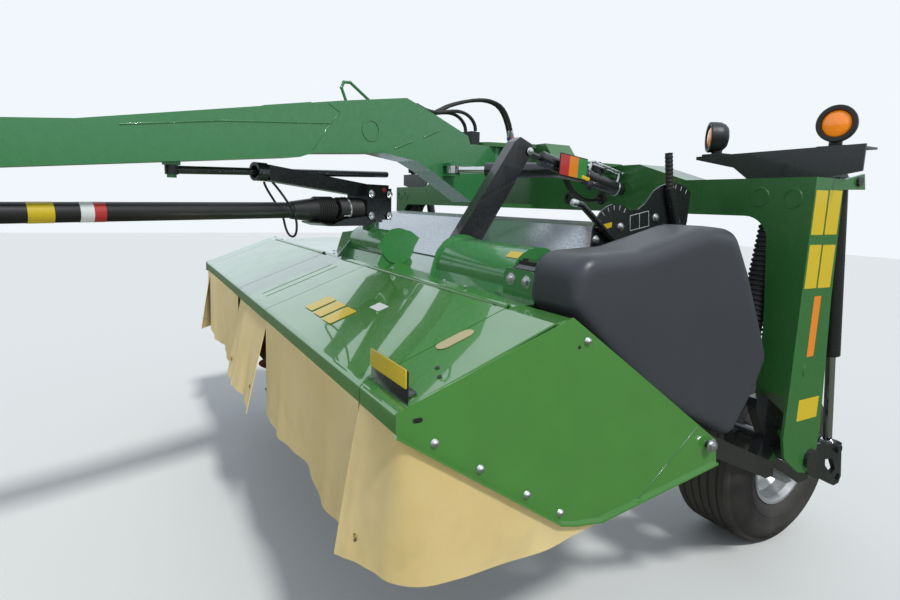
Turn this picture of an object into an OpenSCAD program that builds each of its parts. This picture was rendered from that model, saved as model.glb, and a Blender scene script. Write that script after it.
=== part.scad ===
// Trailed disc mower conditioner with a centre pivot drawbar, standing on its wheels and jack.
// +X is the machine's left, -Y is forward, Z = 0 is the ground. Heights are above the ground and
// fore-and-aft places are counted from the drawbar's pivot.

/* [Main frame] */
// Drawbar pivot to the front face of the cross beam
beam_y = 230; // [200:5:280]
// Depth of the cross beam, front to back
beam_d = 200; // [160:5:220]
// Height of the cross beam's section
beam_h = 160; // [140:5:180]
// Height of the cross beam's top
beam_top = 2033; // [2000:1:2080]
// Half the width over the outer leg plates
frame_half = 2011; // [1990:1:2060]
// Width of a leg box, across the machine
leg_w = 145; // [120:5:180]
// Depth of a leg box, front to back
leg_d = 200; // [170:5:220]
// Thickness of the frame's plates
plate_t = 12; // [8:1:16]

/* [Drawbar] */
// Drawbar pivot to the swivel of the hitch yoke
boom_len = 6100; // [5900:10:6600]
// Width of the drawbar's box section
boom_w = 180; // [150:5:200]
// Depth of the drawbar's box section ahead of the neck
boom_h = 172; // [150:2:190]
// Angle of the drawbar at rest, towards the machine's left
swing_rest = 13; // [0:1:18]
// Radius of the drawbar's pivot hub
hub_r = 95; // [80:5:110]
// Height of the drawbar's pivot hub
hub_h = 360; // [320:10:360]
// Radius of the drawbar's pivot pin
pivot_pin_r = 40; // [30:1:50]
// Height of the yoke swivel's lower edge
swivel_z = 1080; // [1040:5:1120]
// Radius of the yoke's swivel hub
swivel_r = 70; // [55:5:80]
// Distance between the shoulders of the lower link pins
link_span = 825; // [825:5:870]
// Radius of the lower link pins
link_pin_r = 14; // [11:1:18]
// Height of the lower link pins
link_pin_z = 620; // [560:5:700]

/* [Parking jack] */
// Hitch swivel back to the jack, along the drawbar
jack_back = 650; // [550:10:800]
// Outer width of the jack's sleeve
jack_w = 90; // [80:2:110]
// Wall of the jack's sleeve
jack_wall = 6; // [4:1:8]
// Edge of the jack's square foot
foot_w = 240; // [180:10:300]

/* [Mowing unit] */
// Half width of the hood
hood_half = 2000; // [1980:1:2010]
// Drawbar pivot forward to the hood's front edge
hood_front = 1550; // [1500:5:1600]
// Height of the hood's front edge
hood_front_z = 1345; // [1320:1:1370]
// Drawbar pivot forward to the lids' hinge line
hinge_s = 1010; // [980:5:1040]
// Height of the lids' hinge line
hinge_z = 1545; // [1530:1:1570]
// Half width of the fixed strip between the lids
strip_half = 378; // [350:2:400]
// Width of the fixed end section beside each lid
end_w = 270; // [240:2:300]
// Thickness of the hood's sheets
sheet_t = 6; // [4:1:8]
// Thickness of the end plates
end_plate_t = 8; // [6:1:12]
// Thickness of the protective curtains
cloth_t = 5; // [3:1:8]
// Height of the curtains' lower edge
curtain_z = 800; // [760:5:860]
// Radius of a cutting disc
disc_r = 192; // [180:2:200]
// Radius of the circle that the blade tips run on
blade_r = 258; // [250:2:264]
// Height of the cutter bar's lower face
bar_z = 790; // [770:5:800]
// Drawbar pivot forward to the line of the discs
bar_s = 1275; // [1265:5:1285]
// Radius of the conditioner's tine tips
tine_r = 285; // [260:5:290]
// Drawbar pivot forward to the conditioner's shaft
rotor_s = 800; // [790:5:810]
// Height of the conditioner's shaft
rotor_z = 1090; // [1080:5:1120]
// Half length of the conditioner rotor
rotor_half = 1440; // [1300:10:1500]

/* [Driveline] */
// Drawbar pivot forward to the swivel gearbox
gear_s = 834; // [820:2:850]
// Swivel gearbox to the centre of its shaft joint
joint_d = 300; // [280:5:320]
// Height of that shaft joint
joint_z = 1838; // [1830:1:1850]
// Drawbar pivot to the shaft bearing under the drawbar, along the drawbar
bearing_s = 3600; // [3500:10:3700]
// Height of that shaft bearing
bearing_z = 1790; // [1780:1:1800]
// Radius of the driveline's guard tube
guard_r = 42; // [38:1:45]
// Wall of the driveline's guard tube
guard_wall = 4; // [3:1:5]
// Drawbar pivot to the ball joint of the steering rod, along the drawbar
ball_s = 2000; // [1950:10:2050]
// Height of that ball joint
ball_z = 2005; // [2000:1:2010]
// Radius of the steering rod
steer_r = 18; // [14:1:20]

/* [Wheels] */
// Radius of a tyre
tyre_r = 480; // [460:2:490]
// Width of a tyre
tyre_w = 400; // [370:5:420]
// Radius of a rim, over its flanges
rim_r = 236; // [225:1:240]
// Half the distance between the tyres' middles
track_half = 1395; // [1360:5:1420]
// Drawbar pivot back to the wheels' axles
axle_y = 1045; // [1025:5:1080]

/* [Hidden] */
$fn = 48;

seat = 0.3;      // running gap between pieces that move on each other
play = 0.05;     // radial clearance of a pin in its bore
rear_reach = axle_y + tyre_r;
yoke_s = 200;    // swivel to the link pins, along the drawbar
nose_s = boom_len + yoke_s + 45;
// The footprint's middle is the origin, so the drawbar's pivot stands this far back from it.
pivot_y = (nose_s * cos(swing_rest) - rear_reach) / 2;

beam_bottom = beam_top - beam_h;
beam_back = beam_y + beam_d;
leg_in = frame_half - leg_w;
hub_z = beam_bottom + plate_t + 15 + seat;
arm_pivot = [450, 820];      // wheel arm's pivot: Y, Z
rocker_pivot = [348, 932];   // rocker crank's pivot: Y, Z
ram_top = [540, 2028];       // lift cylinder's upper pin: Y, Z
ram_foot = [752, 794];       // lift cylinder's lower pin: Y, Z
ram_x = frame_half - 81;     // plane of the lift cylinder
lid_out = hood_half - end_w;
lid_gap = 6;
roof_slope = atan2(hinge_z - hood_front_z, hood_front - hinge_s);

// Places every piece of the machine: Y is counted from the drawbar's pivot.
module machine() translate([0, pivot_y, 0]) children();

// The same piece on both sides of the machine.
module both_sides() {
    children();
    mirror([1, 0, 0]) children();
}

// Box between two corners.
module block(low, high) translate(low) cube(high - low);

// Outline in Y and Z, extruded along X from x0 to x1.
module slab(x0, x1) translate([x0, 0, 0]) rotate([90, 0, 90]) linear_extrude(x1 - x0) children();

// Outline in X and Z, extruded along Y from y0 to y1.
module wall(y0, y1) translate([0, y1, 0]) rotate([90, 0, 0]) linear_extrude(y1 - y0) children();

// Round bar along X.
module bar_x(x0, x1, at, r) translate([x0, at[0], at[1]]) rotate([0, 90, 0]) cylinder(r = r, h = x1 - x0);

// Upright round bar.
module post(at, z0, z1, r) translate([at[0], at[1], z0]) cylinder(r = r, h = z1 - z0);

// Round bar between two points.
module rod(p, q, r) {
    d = q - p;
    translate(p) rotate([0, acos(d[2] / norm(d)), atan2(d[1], d[0])]) cylinder(r = r, h = norm(d));
}

// Tapered round bar between two points.
module spindle(p, q, r1, r2) {
    d = q - p;
    translate(p) rotate([0, acos(d[2] / norm(d)), atan2(d[1], d[0])])
        cylinder(r1 = r1, r2 = r2, h = norm(d));
}

// Tube between two points.
module pipe(p, q, r, bore) {
    d = q - p;
    translate(p) rotate([0, acos(d[2] / norm(d)), atan2(d[1], d[0])]) difference() {
        cylinder(r = r, h = norm(d));
        translate([0, 0, -1]) cylinder(r = bore, h = norm(d) + 2);
    }
}

// Points of an arc about c, from angle a0 to a1.
function arc(c, r, a0, a1, n = 8) =
    [for (i = [0:n]) let (a = a0 + (a1 - a0) * i / n) c + r * [cos(a), sin(a)]];

// A strip of constant thickness along a line of points, on its left.
function side(p, q) = let (d = (q - p) / norm(q - p)) [-d[1], d[0]];
function offset_line(pts, t) = [for (i = [0:len(pts) - 1])
    let (a = side(pts[max(i - 1, 0)], pts[max(i, 1)]),
         b = side(pts[min(i, len(pts) - 2)], pts[min(i + 1, len(pts) - 1)]),
         m = (a + b) / norm(a + b))
    pts[i] + m * t / (m * b)];
function reversed(v) = [for (i = [len(v) - 1:-1:0]) v[i]];
module strip(pts, t) polygon(concat(pts, reversed(offset_line(pts, t))));

// Main frame: cross beam with its raised middle and the plates of the drawbar's pivot.
raise_half = 1100;
raise_end = 1400;
raise_z = 2120;
console_half = 300;
bracket_half = 130;
bracket_t = 25;
hub_top = hub_z + hub_h;
module main_beam() color("forestgreen") machine() difference() {
    union() {
        block([-leg_in, beam_y, beam_bottom], [leg_in, beam_back, beam_top]);
        wall(beam_y, beam_back) polygon([[-raise_end, beam_top], [-raise_half, raise_z],
            [-console_half - 150, raise_z], [-console_half, hub_top + seat + bracket_t],
            [console_half, hub_top + seat + bracket_t], [console_half + 150, raise_z],
            [raise_half, raise_z], [raise_end, beam_top]]);
        for (z = [hub_z - seat - bracket_t, hub_top + seat])
            bracket_plate(z);
        swing_lug();
        block([swing_b[0] - 38, beam_y, beam_top - 1], [swing_b[0] + 38, beam_y + 40,
            ram_z + eye_h / 2 + seat + lug_t]);
    }
    post([0, 0], hub_z - seat - bracket_t - 1, hub_top + seat + bracket_t + 1, pivot_pin_r + play);
    post([swing_b[0], swing_b[1]], ram_z - 80, ram_z + 80, swing_pin_r + seat);
}

module bracket_plate(z) translate([0, 0, z]) linear_extrude(bracket_t) union() {
    circle(bracket_half);
    polygon([[-bracket_half, 0], [bracket_half, 0], [bracket_half * 1.6, beam_y],
        [-bracket_half * 1.6, beam_y]]);
}

// Lugs that hold the swing cylinder's barrel.
swing_b = [900, 130];
ram_z = 2090;
swing_pin_r = 15;
lug_t = 16;
eye_h = 44;
module swing_lug() for (z = [ram_z - eye_h / 2 - seat - lug_t, ram_z + eye_h / 2 + seat])
    translate([0, 0, z]) linear_extrude(lug_t) union() {
        translate(swing_b) circle(38);
        translate([swing_b[0] - 38, swing_b[1]]) square([76, beam_y - swing_b[1]]);
    }

// Leg: a box of plates on the beam's end, whose outer plate carries the wheel arm and the cylinder.
outer_plate = [[beam_y, beam_top], [beam_back + 12, beam_top], [ram_top[0] + 40, ram_top[1] + 33],
    [ram_top[0] + 60, ram_top[1] - 32], [beam_back, ram_top[1] - 38], [beam_back + 22, 1532],
        [arm_pivot[0] + 55, 956],
    [arm_pivot[0] + 49, arm_pivot[1] + 24], [arm_pivot[0] - 16, arm_pivot[1] - 67],
    [arm_pivot[0] - 80, arm_pivot[1] - 50], [beam_y + 26, 856], [beam_y, 947]];
// Flange that widens the leg's front and back towards the beam, with a rounded inner corner.
corner_r = 110;
leg_flange = concat([[leg_in + 1, 1400], [leg_in + 1, beam_bottom]],
    arc([leg_in - 30 - corner_r, beam_bottom - corner_r], corner_r, 90, 0));
module leg() color("forestgreen") machine() difference() {
    union() {
        slab(frame_half - plate_t, frame_half) polygon(outer_plate);
        slab(leg_in, leg_in + plate_t) polygon([[beam_y, beam_top], [beam_back, beam_top],
            [beam_back, 1240], [arm_pivot[0] + 49, arm_pivot[1] + 24],
                [arm_pivot[0] - 16, arm_pivot[1] - 67],
            [arm_pivot[0] - 80, arm_pivot[1] - 50], [beam_y + 60, 900], [beam_y, 1000]]);
        block([leg_in + plate_t, beam_y, 1130], [frame_half - plate_t, beam_y + plate_t, beam_top]);
        block([leg_in + plate_t, beam_back - plate_t, 1240], [frame_half - plate_t, beam_back, beam_top]);
        block([leg_in + plate_t, beam_y + plate_t, beam_top - plate_t],
            [frame_half - plate_t, beam_back - plate_t, beam_top]);
        bar_x(leg_in + plate_t, frame_half - plate_t, rocker_pivot, rocker_pin_r);
        for (y = [beam_y, beam_back - plate_t]) wall(y, y + plate_t) polygon(leg_flange);
    }
    bar_x(leg_in - 1, frame_half + 1, arm_pivot, arm_tube_r + seat);
    bar_x(frame_half - plate_t - 1, frame_half + 1, ram_top, ram_pin_r + play);
}
module leg_left() leg();
module leg_right() mirror([1, 0, 0]) leg();

// Folded channels on the beam's ends that carry the lamps.
bracket_z = beam_top + 12;
light_y = beam_y + 120;
module light_bracket() machine() {
    far = frame_half - 660;
    near = frame_half + 100;
    wall(light_y, light_y + 8) polygon([[far, bracket_z + 107], [near, bracket_z + 117],
        [near, bracket_z + 14],
        [frame_half - 40, bracket_z - 12], [frame_half - 370, bracket_z - 12],
            [frame_half - 450, bracket_z + 46],
        [far, bracket_z + 92]]);
    block([far, light_y + 8, bracket_z + 99], [near, light_y + 90, bracket_z + 107]);
}
module light_brackets() color([0.08, 0.08, 0.09]) both_sides() light_bracket();

// Lamps: columns are X, Y, Z of the middle and the turn of the lens about the upright.
lamps = [[frame_half - 579, light_y + 42, 2242, -60], [frame_half - 34, light_y + 42, 2248, 0]];
lamp_r = 72;
lamp_d = 90;
module lamp_at(l) translate([l[0], l[1], l[2]]) rotate([90, 0, l[3] + 20]) children();
module lamp_housings() color([0.06, 0.06, 0.07]) machine() both_sides() for (l = lamps) {
    lamp_at(l) translate([0, 0, -lamp_d / 2]) difference() {
        cylinder(r = lamp_r, h = lamp_d);
        translate([0, 0, lamp_d - 20]) cylinder(r = lamp_r - 12, h = 21);
    }
    post([l[0], l[1]], bracket_z + 107, l[2] - lamp_r + 6, 24);
}
module lamp_lenses() color("orange") machine() both_sides() for (l = lamps)
    lamp_at(l) translate([0, 0, lamp_d / 2 - 20]) cylinder(r = lamp_r - 12.2, h = 16);

// Hood sheet, seen from the side: hinge line, straight slope, rounded front and turned-down lip.
lip_r = 28;
lip_h = 62;
roof_line = concat([[-hinge_s - 16, hinge_z - 3]],
    arc([-hood_front + lip_r, hood_front_z - lip_r + 5], lip_r, 90 + roof_slope, 180, 6),
    [[-hood_front, hood_front_z - lip_h]]);
module hood_sheet(x0, x1) slab(x0, x1) strip(roof_line, sheet_t);

// Fixed deck behind the hinge line, and the fixed strip between the lids.
deck_back = 500;
deck_line = [[-deck_back, hinge_z + 22], [-hinge_s + 40, hinge_z + 2], [-hinge_s + 22, hinge_z - 8]];
hinge_r = 13;
module hood_deck() color([0.24, 0.53, 0.2]) machine() {
    slab(-lid_out, lid_out) strip(deck_line, sheet_t);
    difference() {
        hood_sheet(-strip_half, strip_half);
        for (x = [20, 120]) translate([x, -hood_front + 60, hood_front_z - 50]) cube([14, 400, 300]);
    }
    slab(-strip_half, strip_half) polygon([[-hinge_s - 17, hinge_z - 9], [-hinge_s + 24, hinge_z - 9],
        [-hinge_s + 24, hinge_z - 14], [-hinge_s - 17, hinge_z - 14]]);
    for (x = [-lid_out + 60, -strip_half - 80, strip_half + 60, lid_out - 80]) hinge_knuckle(x);
}
// One fixed hinge knuckle on the deck's front edge, with its pin.
module hinge_knuckle(x) {
    bar_x(x, x + 20, [-hinge_s, hinge_z], hinge_r);
    bar_x(x - 18, x + 38, [-hinge_s, hinge_z], 4.7);
    block([x, -hinge_s, hinge_z - hinge_r], [x + 20, -hinge_s + 26, hinge_z - 8]);
}

// Opening lid over the discs, on its hinge tube.
module lid() machine() {
    hood_sheet(strip_half + lid_gap, lid_out - lid_gap);
    for (s = [[strip_half + lid_gap, strip_half + 58], [strip_half + 82, lid_out - 82],
        [lid_out - 58, lid_out - lid_gap]])
        difference() {
            union() {
                bar_x(s[0], s[1], [-hinge_s, hinge_z], hinge_r);
                slab(s[0], s[1]) polygon([[-hinge_s - 16, hinge_z - 3], [-hinge_s - 16, hinge_z - 9],
                    [-hinge_s, hinge_z - 6], [-hinge_s, hinge_z + 6]]);
            }
            bar_x(s[0] - 1, s[1] + 1, [-hinge_s, hinge_z], 5);
        }
}
module lid_left() color([0.24, 0.53, 0.2]) lid();
module lid_right() color([0.24, 0.53, 0.2]) mirror([1, 0, 0]) lid();

// Fixed end section: top sheet and the large end plate with its rolled lower edge.
plate_rear = [-188, 928];
plate_low = [-897, 859];
plate_nose = [-1529, 1275];
plate_top = [-958, 1556];
link_bolt = [-255, 1015];
end_outline = [[-hood_front, hood_front_z - lip_h], [-hood_front, hood_front_z - 8],
    [-hood_front + 12, hood_front_z + 2],
    plate_top, [-203, 1022], plate_rear, [-780, 842], plate_low, [-960, 876]];
module end_section() machine() difference() {
    union() {
        slab(hood_half - end_plate_t, hood_half) polygon(end_outline);
        hood_sheet(lid_out, hood_half - end_plate_t);
        slab(lid_out, hood_half - end_plate_t) strip([[plate_top[0], plate_top[1] - 4],
            [-hinge_s - 16, hinge_z - 3]], sheet_t);
        slab(hood_half - end_plate_t, hood_half + 12) strip([plate_rear, [-780, 842], plate_low,
            [-960, 876], [-hood_front, lip_z]], 8);
    }
    bar_x(hood_half - end_plate_t - 1, hood_half + 1, link_bolt, 14 + play);
}
module end_sections() color([0.24, 0.53, 0.2]) both_sides() end_section();

// Protective curtains: front ones flare forward from the lip, side ones hang from the end plates.
lip_z = hood_front_z - lip_h;
curtain_top = lip_z - seat;
flare = 95;
curtain_line = [[-hood_front + 1, curtain_top], [-hood_front - 4, (curtain_top + curtain_z) / 2],
    [-hood_front - 12, curtain_z]];
lapped_line = [[-hood_front + sheet_t + seat, lip_z + 40], [-hood_front + sheet_t + seat, lip_z - 3],
    [-hood_front - flare / 2, (curtain_top + curtain_z) / 2], [-hood_front - flare, curtain_z + 12]];
corner_x = hood_half - 130;
side_in = hood_half - end_plate_t - seat - cloth_t;
side_front = [[side_in + 2.5, -hood_front + 22, lip_z + 20],
    [side_in + 2.5, -hood_front + 50, curtain_z + 55]];
corner_front = [[corner_x, -hood_front + sheet_t + 4, lip_z - 6],
    [corner_x, -hood_front - flare + 3, curtain_z + 16]];
module side_curtains() color([0.85, 0.75, 0.45]) machine() both_sides() {
    slab(side_in, side_in + cloth_t) polygon([[-hood_front + 20, lip_z + 20], [-960, 920], [-820, 870],
        [-780, 815],
        [-1000, curtain_z + 8], [-1193, curtain_z], [-1350, curtain_z + 16],
            [-hood_front + 48, curtain_z + 55]]);
    slab(lid_out, corner_x + 2) strip(lapped_line, cloth_t);
    cloth_gusset([corner_front[0], corner_front[1], side_front[0]]);
    cloth_gusset([side_front[0], side_front[1], corner_front[1]]);
}
// Three-cornered piece of the curtain that turns round the hood's corner.
module cloth_gusset(corners) hull() for (c = corners) translate(c) cube(cloth_t, center = true);
module centre_curtain() color([0.85, 0.75, 0.45]) machine() slab(-strip_half, strip_half)
    strip(lapped_line, cloth_t);
// A lid's curtain stops short of the middle one, to miss the shaft with the lid up and the drawbar turned.
curtain_slit = 28;
module lid_curtain() machine() slab(strip_half + curtain_slit, lid_out - lid_gap)
    strip(curtain_line, cloth_t);
module lid_curtain_left() color([0.85, 0.75, 0.45]) lid_curtain();
module lid_curtain_right() color([0.85, 0.75, 0.45]) mirror([1, 0, 0]) lid_curtain();

// Cutter bar: flat gear housing with skids, and a round bearing dome under each disc.
bar_half = hood_half - 25;
bar_h = 60;
disc_pitch = (bar_half - blade_r - 9) / 3.5;
disc_z = bar_z + bar_h + 26;
module cutter_bar() color("dimgray") machine() {
    slab(-bar_half, bar_half) polygon([[-bar_s - 100, bar_z + 24], [-bar_s - 70, bar_z],
        [-bar_s + 110, bar_z],
        [-bar_s + 130, bar_z + 12], [-bar_s + 130, bar_z + bar_h - 12], [-bar_s + 110, bar_z + bar_h],
            [-bar_s - 60, bar_z + bar_h]]);
    for (i = [0:7]) post([(i - 3.5) * disc_pitch, -bar_s], bar_z + bar_h, disc_z - seat, 90);
    both_sides() slab(bar_half, bar_half + 8) polygon([[-bar_s - 60, bar_z], [-bar_s + 300, bar_z],
        [-bar_s + 420, bar_z + 180], [-bar_s + 300, bar_z + 240], [-bar_s - 20, bar_z + 330],
        [-bar_s - 60, bar_z + 280]]);
}

// Cutting disc with two blades.
module disc(i) machine() translate([(i - 4.5) * disc_pitch, -bar_s, disc_z]) {
    cylinder(r1 = disc_r, r2 = 96, h = 34);
    rotate(i % 2 == 0 ? 0 : 90) for (a = [0, 180]) rotate(a)
        translate([disc_r - 40, -22, -6]) cube([blade_r - disc_r + 36, 44, 6]);
}
module disc_1() color("firebrick") disc(1);
module disc_2() color("firebrick") disc(2);
module disc_3() color("firebrick") disc(3);
module disc_4() color("firebrick") disc(4);
module disc_5() color("firebrick") disc(5);
module disc_6() color("firebrick") disc(6);
module disc_7() color("firebrick") disc(7);
module disc_8() color("firebrick") disc(8);

// Conditioner rotor: shaft tube with rows of V tines.
tine_rows = 6;
tine_pitch = 120;
module tine_rotor() color("gray") machine() translate([0, -rotor_s, rotor_z]) {
    rotate([0, 90, 0]) translate([0, 0, -rotor_half]) cylinder(r = 90, h = 2 * rotor_half);
    rotate([0, 90, 0]) translate([0, 0, 2 - side_x]) cylinder(r = 25 - seat, h = 2 * side_x - 4);
    for (k = [0:tine_rows - 1], i = [0:floor(2 * (rotor_half - 60) / tine_pitch) - 1])
        rotate([k * 360 / tine_rows, 0, 0])
            translate([-rotor_half + 60 + i * tine_pitch + (k % 2) * tine_pitch / 2, -10, 85])
                cube([14, 20, tine_r - 86]);
}

// Bright sheet over the conditioner's chute, and the dark side walls that carry the rotor.
side_x = 1520;
cover_line = [[430, 1480], [300, 1700], [80, 1815], [-160, 1800], [-deck_back + 2, hinge_z + 28]];
module conditioner_cover() color("silver") machine() slab(-side_x, side_x) strip(cover_line, sheet_t);
side_outline = concat(offset_line(cover_line, sheet_t + seat), [
    [-deck_back + 2, hinge_z + 21.4 - sheet_t], [-hinge_s + 45, hinge_z + 1.4 - sheet_t], [-1075, 1000],
    [-1085, bar_z + 62], [-bar_s + 130.3, bar_z + 46], [-bar_s + 130.3, bar_z + 14], [-900, bar_z],
    [-640, bar_z], [-430, bar_z + 70], [330, 1060]]);
module conditioner_sides() color([0.12, 0.12, 0.13]) machine() both_sides() difference() {
    slab(side_x - 8, side_x - 0.2) polygon(side_outline);
    bar_x(side_x - 9, side_x + 1, [-rotor_s, rotor_z], 25 + play);
}

// Round guards over the gear shafts on the deck, their end plates and their bolted brackets.
drive_z = 1650;
dome_r = 86;
near_r = 134;
near_z = drive_z - 50;
near_y = -gear_s + 84;
dome_x = [-134, 370];
near_x = [955, lid_out - 185];
function deck_at(y) = hinge_z + 2 + (y + hinge_s - 40) * 20 / (hinge_s - 40 - deck_back);
// Points of the leaf-shaped end plate, counted from the gear shaft.
dome_leaf = [[-106, 0], [-60, 70], [20, 98], [90, 82], [145, 44], [100, -28], [28, -96], [-50, -76]];
module guard_foot(x, y, w) slab(x[0], x[1]) polygon([[y - w, deck_at(y - w) - 2],
    [y + w, deck_at(y + w) - 2],
    [y + w - 24, near_z], [y - w + 24, near_z]]);
module drive_guards() color("forestgreen") machine() difference() {
    union() {
        bar_x(dome_x[0], dome_x[1], [-gear_s, drive_z], dome_r);
        guard_foot(dome_x, -gear_s, 108);
        bar_x(dome_x[1], dome_x[1] + 8, [-gear_s + 14, drive_z], dome_r + 13);
        slab(dome_x[1], dome_x[1] + 8) polygon([for (p = dome_leaf) [p[0] - gear_s, p[1] + drive_z]]);
        post([0, -gear_s], drive_z, gearbox_low - seat, 50);
        wall(-gear_s - 66, -gear_s - 58) polygon([[dome_x[0] + 2, deck_at(-gear_s - 62) - 2],
            [dome_x[0] - 330, deck_at(-gear_s - 62) - 2],
            [dome_x[0] - 200, drive_z + 38], [dome_x[0] + 2, drive_z + 58]]);
        slab(dome_x[0] - 8, dome_x[0]) polygon([[-gear_s - 170, deck_at(-gear_s - 160) - 2],
            [-gear_s + 60, deck_at(-gear_s + 60) - 2],
            [-gear_s + 60, drive_z + 20], [-gear_s - 40, drive_z + 56]]);
        bar_x(near_x[0], near_x[1], [near_y, near_z], near_r);
        guard_foot(near_x, near_y, 152);
        bar_x(near_x[0] - 10, near_x[0], [near_y, near_z], near_r + 14);
        slab(near_x[0] - 10, near_x[0]) polygon([[near_y - 171, deck_at(near_y - 171) - 2],
            [near_y + 160, deck_at(near_y + 160) - 2],
            [near_y + 134, near_z + 60], [near_y - 138, near_z + 50]]);
        slab(near_x[0] - 26, near_x[0]) strip([[near_y + 120, deck_at(near_y + 120) - 1],
            [near_y - 171, deck_at(near_y - 171) - 1]], -8);
        u_bracket();
    }
    slab(dome_x[0] - 340, lid_out) polygon([[-hinge_s, deck_at(-hinge_s)],
        [-deck_back, deck_at(-deck_back)], [-deck_back, 1400], [-hinge_s, 1400]]);
}
// Folded bracket with two cheeks that holds the belt drive's bolted plate.
bracket_x = [lid_out - 195, lid_out - 2];
bracket_front = near_y - 154;
module u_bracket() {
    wall(bracket_front, bracket_front + 8) polygon([[bracket_x[0], deck_at(bracket_front) - 2],
        [bracket_x[1], deck_at(bracket_front) - 2],
        [bracket_x[1], deck_at(bracket_front) + 88], [bracket_x[1] - 22, deck_at(bracket_front) + 112],
        [bracket_x[0] + 22, deck_at(bracket_front) + 112], [bracket_x[0], deck_at(bracket_front) + 88]]);
    for (x = [bracket_x[0], bracket_x[1] - 8]) slab(x, x + 8)
        polygon([[bracket_front, deck_at(bracket_front) - 2],
        [bracket_front + 28, deck_at(bracket_front + 28) - 2],
            [bracket_front, deck_at(bracket_front) + 84]]);
}

// Angle gearbox of the belt drive, between the near guard and the belt cover.
module belt_gearbox() color([0.1, 0.1, 0.11]) machine() {
    x = [near_x[1] + seat, cover_in - seat];
    y = [near_y - 118, near_y + 60];
    slab(x[0], x[1]) polygon([[y[0], deck_at(y[0]) + sheet_t + seat],
        [y[1], deck_at(y[1]) + sheet_t + seat], [y[1], near_z + 60],
        [y[1] - 20, near_z + 76], [y[0] + 20, near_z + 76], [y[0], near_z + 60]]);
    block([x[0] + 12, y[0] + 16, near_z + 75], [x[1] - 12, y[1] - 16, near_z + 88]);
    for (u = [x[0] + 30, x[1] - 30], v = [y[0] + 34, y[1] - 34])
        post([u, v], near_z + 86, near_z + 96, 11);
}

// Moulded cover over the belt drive at the machine's left, rounded along both faces.
cover_in = lid_out + seat;
cover_out = hood_half - 15;
cover_round = 46;
// Rounded discs that its two bulges are drawn over: Y, Z, radius.
cover_nose = [[-850, 1664, 82], [-896, 1590, 40], [-640, 1672, 84], [-560, 1262, 40]];
cover_back = [[-640, 1672, 84], [-320, 1728, 109], [-222, 1736, 94], [-150, 1610, 102], [52, 1312, 58],
    [20, 1215, 50],
    [-92, 1048, 42], [-560, 1262, 40]];
module cover_disc(d) {
    e = min(cover_round, d[2] - 6);
    translate([0, d[0], d[1]]) rotate([90, 0, 90]) rotate_extrude($fn = 28)
        polygon(concat([[0, cover_in]],
        arc([d[2] - e, cover_in + e * sin(60)], e, -60, 0, 3),
            arc([d[2] - e, cover_out - e], e, 0, 90, 4), [[0, cover_out]]));
}
module belt_cover() color([0.22, 0.22, 0.24]) machine() for (group = [cover_nose, cover_back]) hull()
    for (d = group) cover_disc(d);

// Lift arm of the mowing unit, and the tie cylinder that joins it to the beam.
arm_foot = [891, -gear_s + 70, 1640];
arm_head = [891, -385, 2172];
tie_end = [985, beam_y - 40, 1992];
tie_pin = arm_head + [0, 26, -14];
module lift_arm() color([0.1, 0.1, 0.11]) machine() difference() {
    slab(arm_foot[0] - 36, arm_foot[0] + 36) polygon([[arm_foot[1] - 70, arm_foot[2] - 20],
        [arm_head[1] - 62, arm_head[2] + 30],
        [arm_head[1] - 30, arm_head[2] + 52], [arm_head[1] + 40, arm_head[2] + 22],
            [arm_head[1] + 50, arm_head[2] - 10],
        [arm_foot[1] + 110, arm_foot[2] + 25], [arm_foot[1] + 100, deck_at(arm_foot[1] + 100)],
            [arm_foot[1] - 70, deck_at(arm_foot[1] - 70)]]);
    slab(arm_foot[0] - 26, arm_foot[0] + 26) polygon([[arm_foot[1] - 20, arm_foot[2] + 40],
        [arm_head[1] - 50, arm_head[2] - 20],
        [arm_head[1] + 110, arm_head[2] + 60], [arm_foot[1] + 200, arm_foot[2] + 40]]);
    bar_x(arm_foot[0] - 37, arm_foot[0] + 37, [tie_pin[1], tie_pin[2]], 16 + play);
    slab(arm_foot[0] + 30, arm_foot[0] + 37) strip([[arm_head[1] + 2, arm_head[2] - 110],
        [arm_foot[1] + 64, arm_foot[2] + 250]], 22);
}
module tie_cylinder() color([0.07, 0.07, 0.08]) machine() {
    mid = tie_pin + (tie_end - tie_pin) * 0.16;
    bar_x(arm_foot[0] - 44, arm_foot[0] + 44, [tie_pin[1], tie_pin[2]], 16);
    bar_x(arm_foot[0] - 20, arm_foot[0] + 20, [tie_pin[1], tie_pin[2]], 24);
    rod(tie_pin, mid, 14);
    rod(mid, tie_end, 38);
    rod(tie_end, tie_end + [0, 39, 0], 30);
}

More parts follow.
